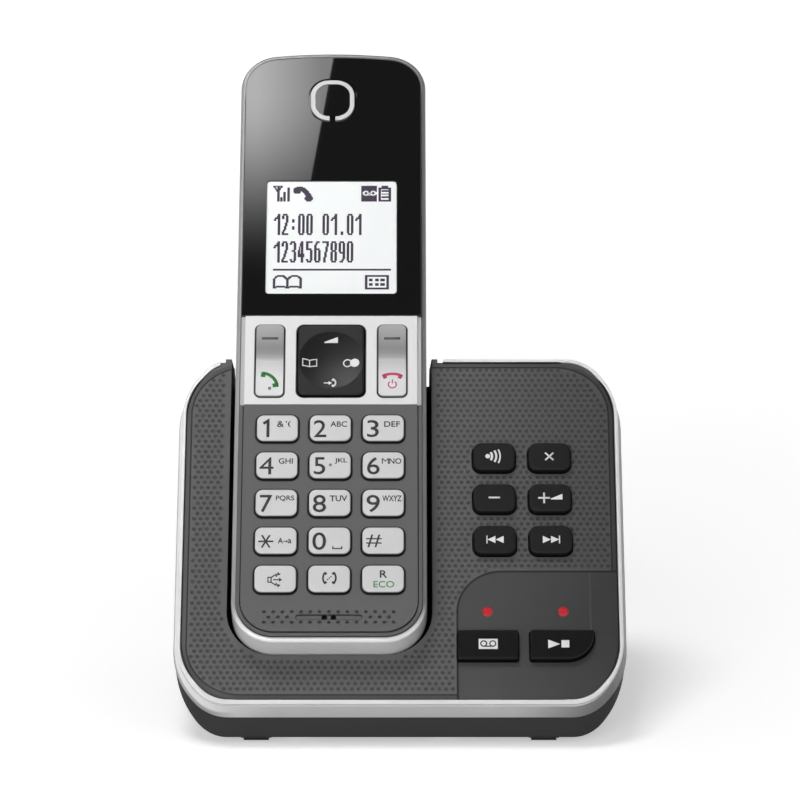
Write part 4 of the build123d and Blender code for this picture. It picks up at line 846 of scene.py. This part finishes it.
def extraMarks(name):
    if name == "key_1":
        return [stroke(0.74, (-3.5, 1.15), (-2.35, 1.95), (-2.35, -2.62))]
    if name == "key_star":
        star = [bar((-2.45, -0.3), length, 0.42, turn) for length, turn in ((3.7, 0), (3.9, 60), (3.9, -60))]
        return star + [bar((2.3, -0.3), 0.9, 0.18), patch((2.55, 0.05), (2.95, -0.3), (2.55, -0.65))]
    if name == "key_0":
        return [stroke(0.3, (0.85, -1.65), (0.85, -2.25), (3.0, -2.25), (3.0, -1.65))]
    if name == "key_speaker":
        horn = [stroke(0.28, (-1.75, 0.3), (-1.0, 0.3), (-1.0, -1.0), (-1.75, -1.0), closed=True),
                stroke(0.28, (-1.0, 0.3), (0.25, 1.15), (0.25, 0.45)),
                stroke(0.28, (-1.0, -1.0), (0.25, -1.85), (0.25, -1.15))]
        return horn + [bar((0.3, -0.35), 1.5, 0.26), patch((0.95, 0.2), (1.72, -0.35), (0.95, -0.9)),
                       patch((0.6, 1.75), (1.35, 1.1), (0.5, 0.75)),
                       patch((0.6, -2.45), (1.35, -1.8), (0.5, -1.45))]
    if name == "key_intercom":
        left = turned(handsetMark(2.5, 33, 0.44), 90, (1.0, 0.12))
        right = turned(handsetMark(2.5, 33, 0.44), -90, (-0.85, 0.12))
        dots = [disc((0.05 + step * 0.42, 0.1 + step * 0.4), 0.19, 14) for step in (-1, 0, 1)]
        return left + right + dots
    return []


for name in numberKeys:
    marks = [letters(*mark) for mark in keyMarks.get(name, [])] + extraMarks(name)
    putOn("marks_" + name, name, "inkDark", keyPlace(name), flatTop(keyTop), marks)
putOn("nib_key_5", "key_5", "keyNib", keyPlace("key_5"), flatTop(keyTop), [disc((0.07, 0.02), 0.4)])
putOn("eco_mark", "key_recall", "inkEco", keyPlace("key_recall"), flatTop(keyTop),
      [letters("ECO", (0.2, -1.55), (5.07, 1.74), 0.008)])
print("number keys done")

# call keys, whose tops are shallow valleys
def valleyTop(across, up):
    return callKeys["top"] - callKeys["valley"] * (1 - min(abs(up) / callKeys["half"], 1))


talkPlace = (handsetMiddle - callKeys["offset"], callKeys["middle"])
offPlace = (handsetMiddle + callKeys["offset"], callKeys["middle"])
putOn("talk_dash", "talk_key", "inkGrey", talkPlace, valleyTop, [bar((-0.03, 6.26), 4.1, 0.62)])
putOn("off_dash", "off_key", "inkGrey", offPlace, valleyTop, [bar((-0.03, 6.26), 4.1, 0.62)])
putOn("talk_mark", "talk_key", "inkGreen", talkPlace, valleyTop,
      turned(handsetMark(4.2, 35, 0.84), -45, (-2.22, -7.72)))
putOn("talk_nib", "talk_key", "keyNib", talkPlace, valleyTop, [bar((0.06, -7.98), 0.74, 0.8)])
putOn("off_mark", "off_key", "inkPink", offPlace, valleyTop,
      turned(handsetMark(5.0, 25, 0.72), 0, (0.03, -8.75))
      + [arc(0.3, (0.03, -6.85), 1.0, 128, 412), bar((0.03, -5.95), 1.15, 0.3, 90)])

# navigation key, whose top is a shallow dish
navDish = {"top": 8.8, "depth": 0.7, "radius": 8.1}
dishBall = (navDish["radius"] ** 2 + navDish["depth"] ** 2) / (2 * navDish["depth"])


def dishTop(across, up):
    reach = min(hypot(across, up), navDish["radius"])
    return navDish["top"] - navDish["depth"] + dishBall - sqrt(dishBall ** 2 - reach ** 2)


navMarks = [
    patch((-1.7, 5.0), (1.7, 5.0), (1.7, 6.6), (-1.7, 5.25)),
    stroke(0.26, (-7.1, 0.4), (-6.2, 0.28), (-5.37, 0.05), (-4.5, 0.28), (-3.6, 0.4), (-3.6, -1.55),
           (-4.5, -1.6), (-5.37, -1.78), (-6.2, -1.6), (-7.1, -1.55), closed=True),
    stroke(0.26, (-5.37, 0.0), (-5.37, -1.7)),
    arc(0.32, (4.15, -0.7), 0.98, 0, 360), disc((5.95, -0.7), 1.17),
    bar((-1.1, -6.45), 1.3, 0.3), patch((-0.55, -5.9), (0.35, -6.45), (-0.55, -7.0)),
    *turned(handsetMark(1.35, 52, 0.42), -90, (-0.15, -6.4)),
]
putOn("nav_marks", "nav_key", "inkWhite", (handsetMiddle, callKeys["middle"]), dishTop, navMarks)
print("call and navigation keys done")

# keys of the base
softTop = 1.5
softPlaces = dict(zip(softKeyNames, [(x, y) for y in (66.6, 55.1, 43.6) for x in (23.5, 37.37)]))
softMarks = {
    "locator_key": [disc((-1.55, -0.05), 0.6), arc(0.6, (-2.3, -0.05), 1.85, -36, 36),
                    arc(0.55, (-2.3, -0.05), 2.9, -33, 33), arc(0.4, (-2.6, -0.05), 4.15, -27, 27)],
    "erase_key": [bar((0, -0.1), 2.9, 0.42, 45), bar((0, -0.1), 2.9, 0.42, -45)],
    "volume_down_key": [bar((0, -0.05), 2.85, 0.46)],
    "volume_up_key": [bar((-1.48, -0.15), 2.95, 0.46), bar((-1.48, -0.15), 2.95, 0.46, 90),
                      patch((0.16, -0.6), (3.1, -0.6), (3.1, 0.95), (0.16, -0.35))],
    "previous_key": [bar((-1.95, -0.13), 2.15, 0.3, 90), patch((-1.85, -0.13), (0.15, 0.85), (0.15, -1.1)),
                     patch((0.2, -0.13), (2.2, 0.85), (2.2, -1.1))],
    "next_key": [bar((2.15, -0.13), 2.15, 0.3, 90), patch((2.05, -0.13), (0.05, 0.85), (0.05, -1.1)),
                 patch((0, -0.13), (-1.98, 0.85), (-1.98, -1.1))],
}
for name, marks in softMarks.items():
    putOn("marks_" + name, name, "inkWhite", softPlaces[name], flatTop(softTop), marks)

panelTop = 1.45
answerPlace = (21.56, 15.2)
playPlace = (39.76, 15.2)
putOn("marks_answer_on_key", "answer_on_key", "inkWhite", answerPlace, flatTop(panelTop),
      [patch((-2.3, -1.35), (2.36, -1.35), (2.36, 1.35), (-2.3, 1.35))])
putOn("tape_answer_on_key", "answer_on_key", "inkBlack", answerPlace, flatTop(panelTop + markThickness),
      [arc(0.3, (-1.08, 0.08), 0.72, 0, 360), arc(0.3, (1.14, 0.08), 0.72, 0, 360),
       bar((0.03, -0.64), 2.2, 0.3)])
putOn("marks_play_stop_key", "play_stop_key", "inkWhite", playPlace, flatTop(panelTop),
      [patch((-3.5, 1.15), (-3.5, -1.2), (-0.6, -0.04)),
       patch((-0.25, -0.95), (1.67, -0.95), (1.67, 1.0), (-0.25, 1.0))])
print("base keys done")


# What the display shows: one fine grid whose pale cells are taken away.

display = {"middle": (-17.5, 125.9), "columns": 128, "rows": 127, "top": 7.9}
glyphs = {
    "0": ".####. ##..## ##..## ##..## ##..## ##..## ##..## ##..## ##..## ##..## ##..## .####.",
    "1": "....## ...### .##### ##..## ....## ....## ....## ....## ....## ....## ....## ....##",
    "2": ".####. ##..## ##..## ....## ....## ...##. ...##. ..##.. ..##.. .##... ##.... ######",
    "3": ".####. ##..## ....## ....## ....## ..###. ....## ....## ....## ....## ##..## .####.",
    "4": "...##. ..###. ..###. .#.##. .#.##. ##.##. ##.##. ###### ###### ...##. ...##. ...##.",
    "5": "###### ##.... ##.... ##.... #####. ....## ....## ....## ....## ....## ##..## .####.",
    "6": "..###. .##... ##.... ##.... #####. ##..## ##..## ##..## ##..## ##..## ##..## .####.",
    "7": "###### ....## ....## ...##. ...##. ...##. ..##.. ..##.. ..##.. .##... .##... .##...",
    "8": ".####. ##..## ##..## ##..## ##..## .####. ##..## ##..## ##..## ##..## ##..## .####.",
    "9": ".####. ##..## ##..## ##..## ##..## ##..## .##### ....## ....## ....## ...##. .###..",
    ":": "...... ...... ...... ..##.. ..##.. ...... ...... ..##.. ..##.. ...... ...... ......",
    ".": "...... ...... ...... ...... ...... ...... ...... ...... ...... ...... ..##.. ..##..",
}
letterPitch = 8
rowHeight = 2
inked = set()


def fillCells(left, top, right, bottom, pale=False):
    for row in range(round(top), round(bottom)):
        for column in range(round(left), round(right)):
            (inked.discard if pale else inked.add)((column, row))


def fillRound(x, y, radius, inner=0.0, pale=False):
    for row in range(int(y - radius) - 1, int(y + radius) + 2):
        for column in range(int(x - radius) - 1, int(x + radius) + 2):
            if inner <= hypot(column + 0.5 - x, row + 0.5 - y) < radius:
                (inked.discard if pale else inked.add)((column, row))


def fillStroke(width, *points):
    # round dots along the line, two of them for each cell it passes
    for start, end in zip(points, points[1:]):
        steps = max(1, int(hypot(end[0] - start[0], end[1] - start[1]) * 2))
        for step in range(steps + 1):
            part = step / steps
            fillRound(start[0] + (end[0] - start[0]) * part, start[1] + (end[1] - start[1]) * part, width / 2)


def writeRow(text, left, top):
    # a letter without a glyph leaves a space
    for place, letter in enumerate(text):
        for row, cells in enumerate(glyphs.get(letter, "").split()):
            for column, cell in enumerate(cells):
                if cell == "#":
                    x, y = left + letterPitch * place + column, top + rowHeight * row
                    fillCells(x, y, x + 1, y + rowHeight)


def drawDisplay():
    fillStroke(2, (7, 5.5), (14, 5.5))  # aerial and strength bars
    fillStroke(1.5, (7, 6), (10.5, 12), (14, 6))
    fillCells(9.6, 5, 11.6, 23)
    fillCells(13, 18, 15, 23)
    fillCells(16, 12, 18, 23)
    fillCells(20, 7, 22, 23)
    fillRound(29.5, 10.5, 3.8)  # receiver
    fillRound(41, 19.5, 3.9)
    fillStroke(5, (30, 8.8), (34, 8.6), (38.5, 12.5), (42, 18))
    fillCells(93, 5, 108, 23)  # tape in a dark box
    fillRound(97.4, 13.5, 3.1, 1.3, pale=True)
    fillRound(104.6, 13.5, 3.1, 1.3, pale=True)
    fillCells(97, 15, 105, 16.4, pale=True)
    fillCells(113, 5, 119, 8)  # battery
    fillCells(110, 7, 122, 23)
    fillCells(112, 9, 120, 21, pale=True)
    for row in (10, 13.5, 17):
        fillCells(112.6, row, 120.4, row + 1.8)
    writeRow("12:00 01.01", 7, 37)
    writeRow("1234567890", 7, 68)
    fillCells(7, 99, 122, 101)
    for side in (-1, 1):  # open book
        middle = 21.2
        page = [(13.0, 120.5), (13.0, 110.5), (10.8, 107.8), (7.6, 106.8), (4.0, 107.4), (1.2, 109.6),
                (0, 111.5), (0, 120.5)]
        foot = [(13.0, 120.5), (9.5, 118.8), (3.5, 118.8), (0, 120.5)]
        for line in (page, foot):
            fillStroke(2, *[(middle + side * x, y) for x, y in line])
    fillCells(97, 106, 120, 122)  # keypad
    fillCells(99, 108, 118, 120, pale=True)
    for column in (101.2, 106.9, 112.5):
        for row in (109.8, 115):
            fillCells(column, row, column + 3, row + 3)


def makeDisplayInk():
    drawDisplay()
    alone(camera)
    cell, columns, rows = displayCell * mm, display["columns"], display["rows"]
    width, height = columns * cell, rows * cell
    bpy.ops.mesh.primitive_grid_add(x_subdivisions=2 * columns, y_subdivisions=rows, size=1)
    sheet = bpy.context.object
    sheet.scale = (width, height, 1)
    bpy.ops.object.transform_apply(scale=True)
    bpy.ops.object.mode_set(mode="EDIT")
    bpy.ops.mesh.select_mode(type="FACE")
    bpy.ops.mesh.select_all(action="DESELECT")
    bpy.ops.object.mode_set(mode="OBJECT")
    for square in sheet.data.polygons:  # half cells, so that every mark also spreads half a cell to its right
        column = int((square.center.x + width / 2) / (cell / 2))
        row = int((height / 2 - square.center.y) / cell)
        square.select = not {(column // 2, row), ((column - 1) // 2, row)} & inked
    bpy.ops.object.mode_set(mode="EDIT")
    bpy.ops.mesh.delete(type="FACE")
    bpy.ops.mesh.select_all(action="SELECT")
    bpy.ops.mesh.dissolve_limited(angle_limit=0.01)
    bpy.ops.object.mode_set(mode="OBJECT")
    thicken(sheet, markThickness)
    putOn("display_ink", "handset", "inkDisplay", display["middle"], flatTop(display["top"]), [sheet])


makeDisplayInk()
print("display done")
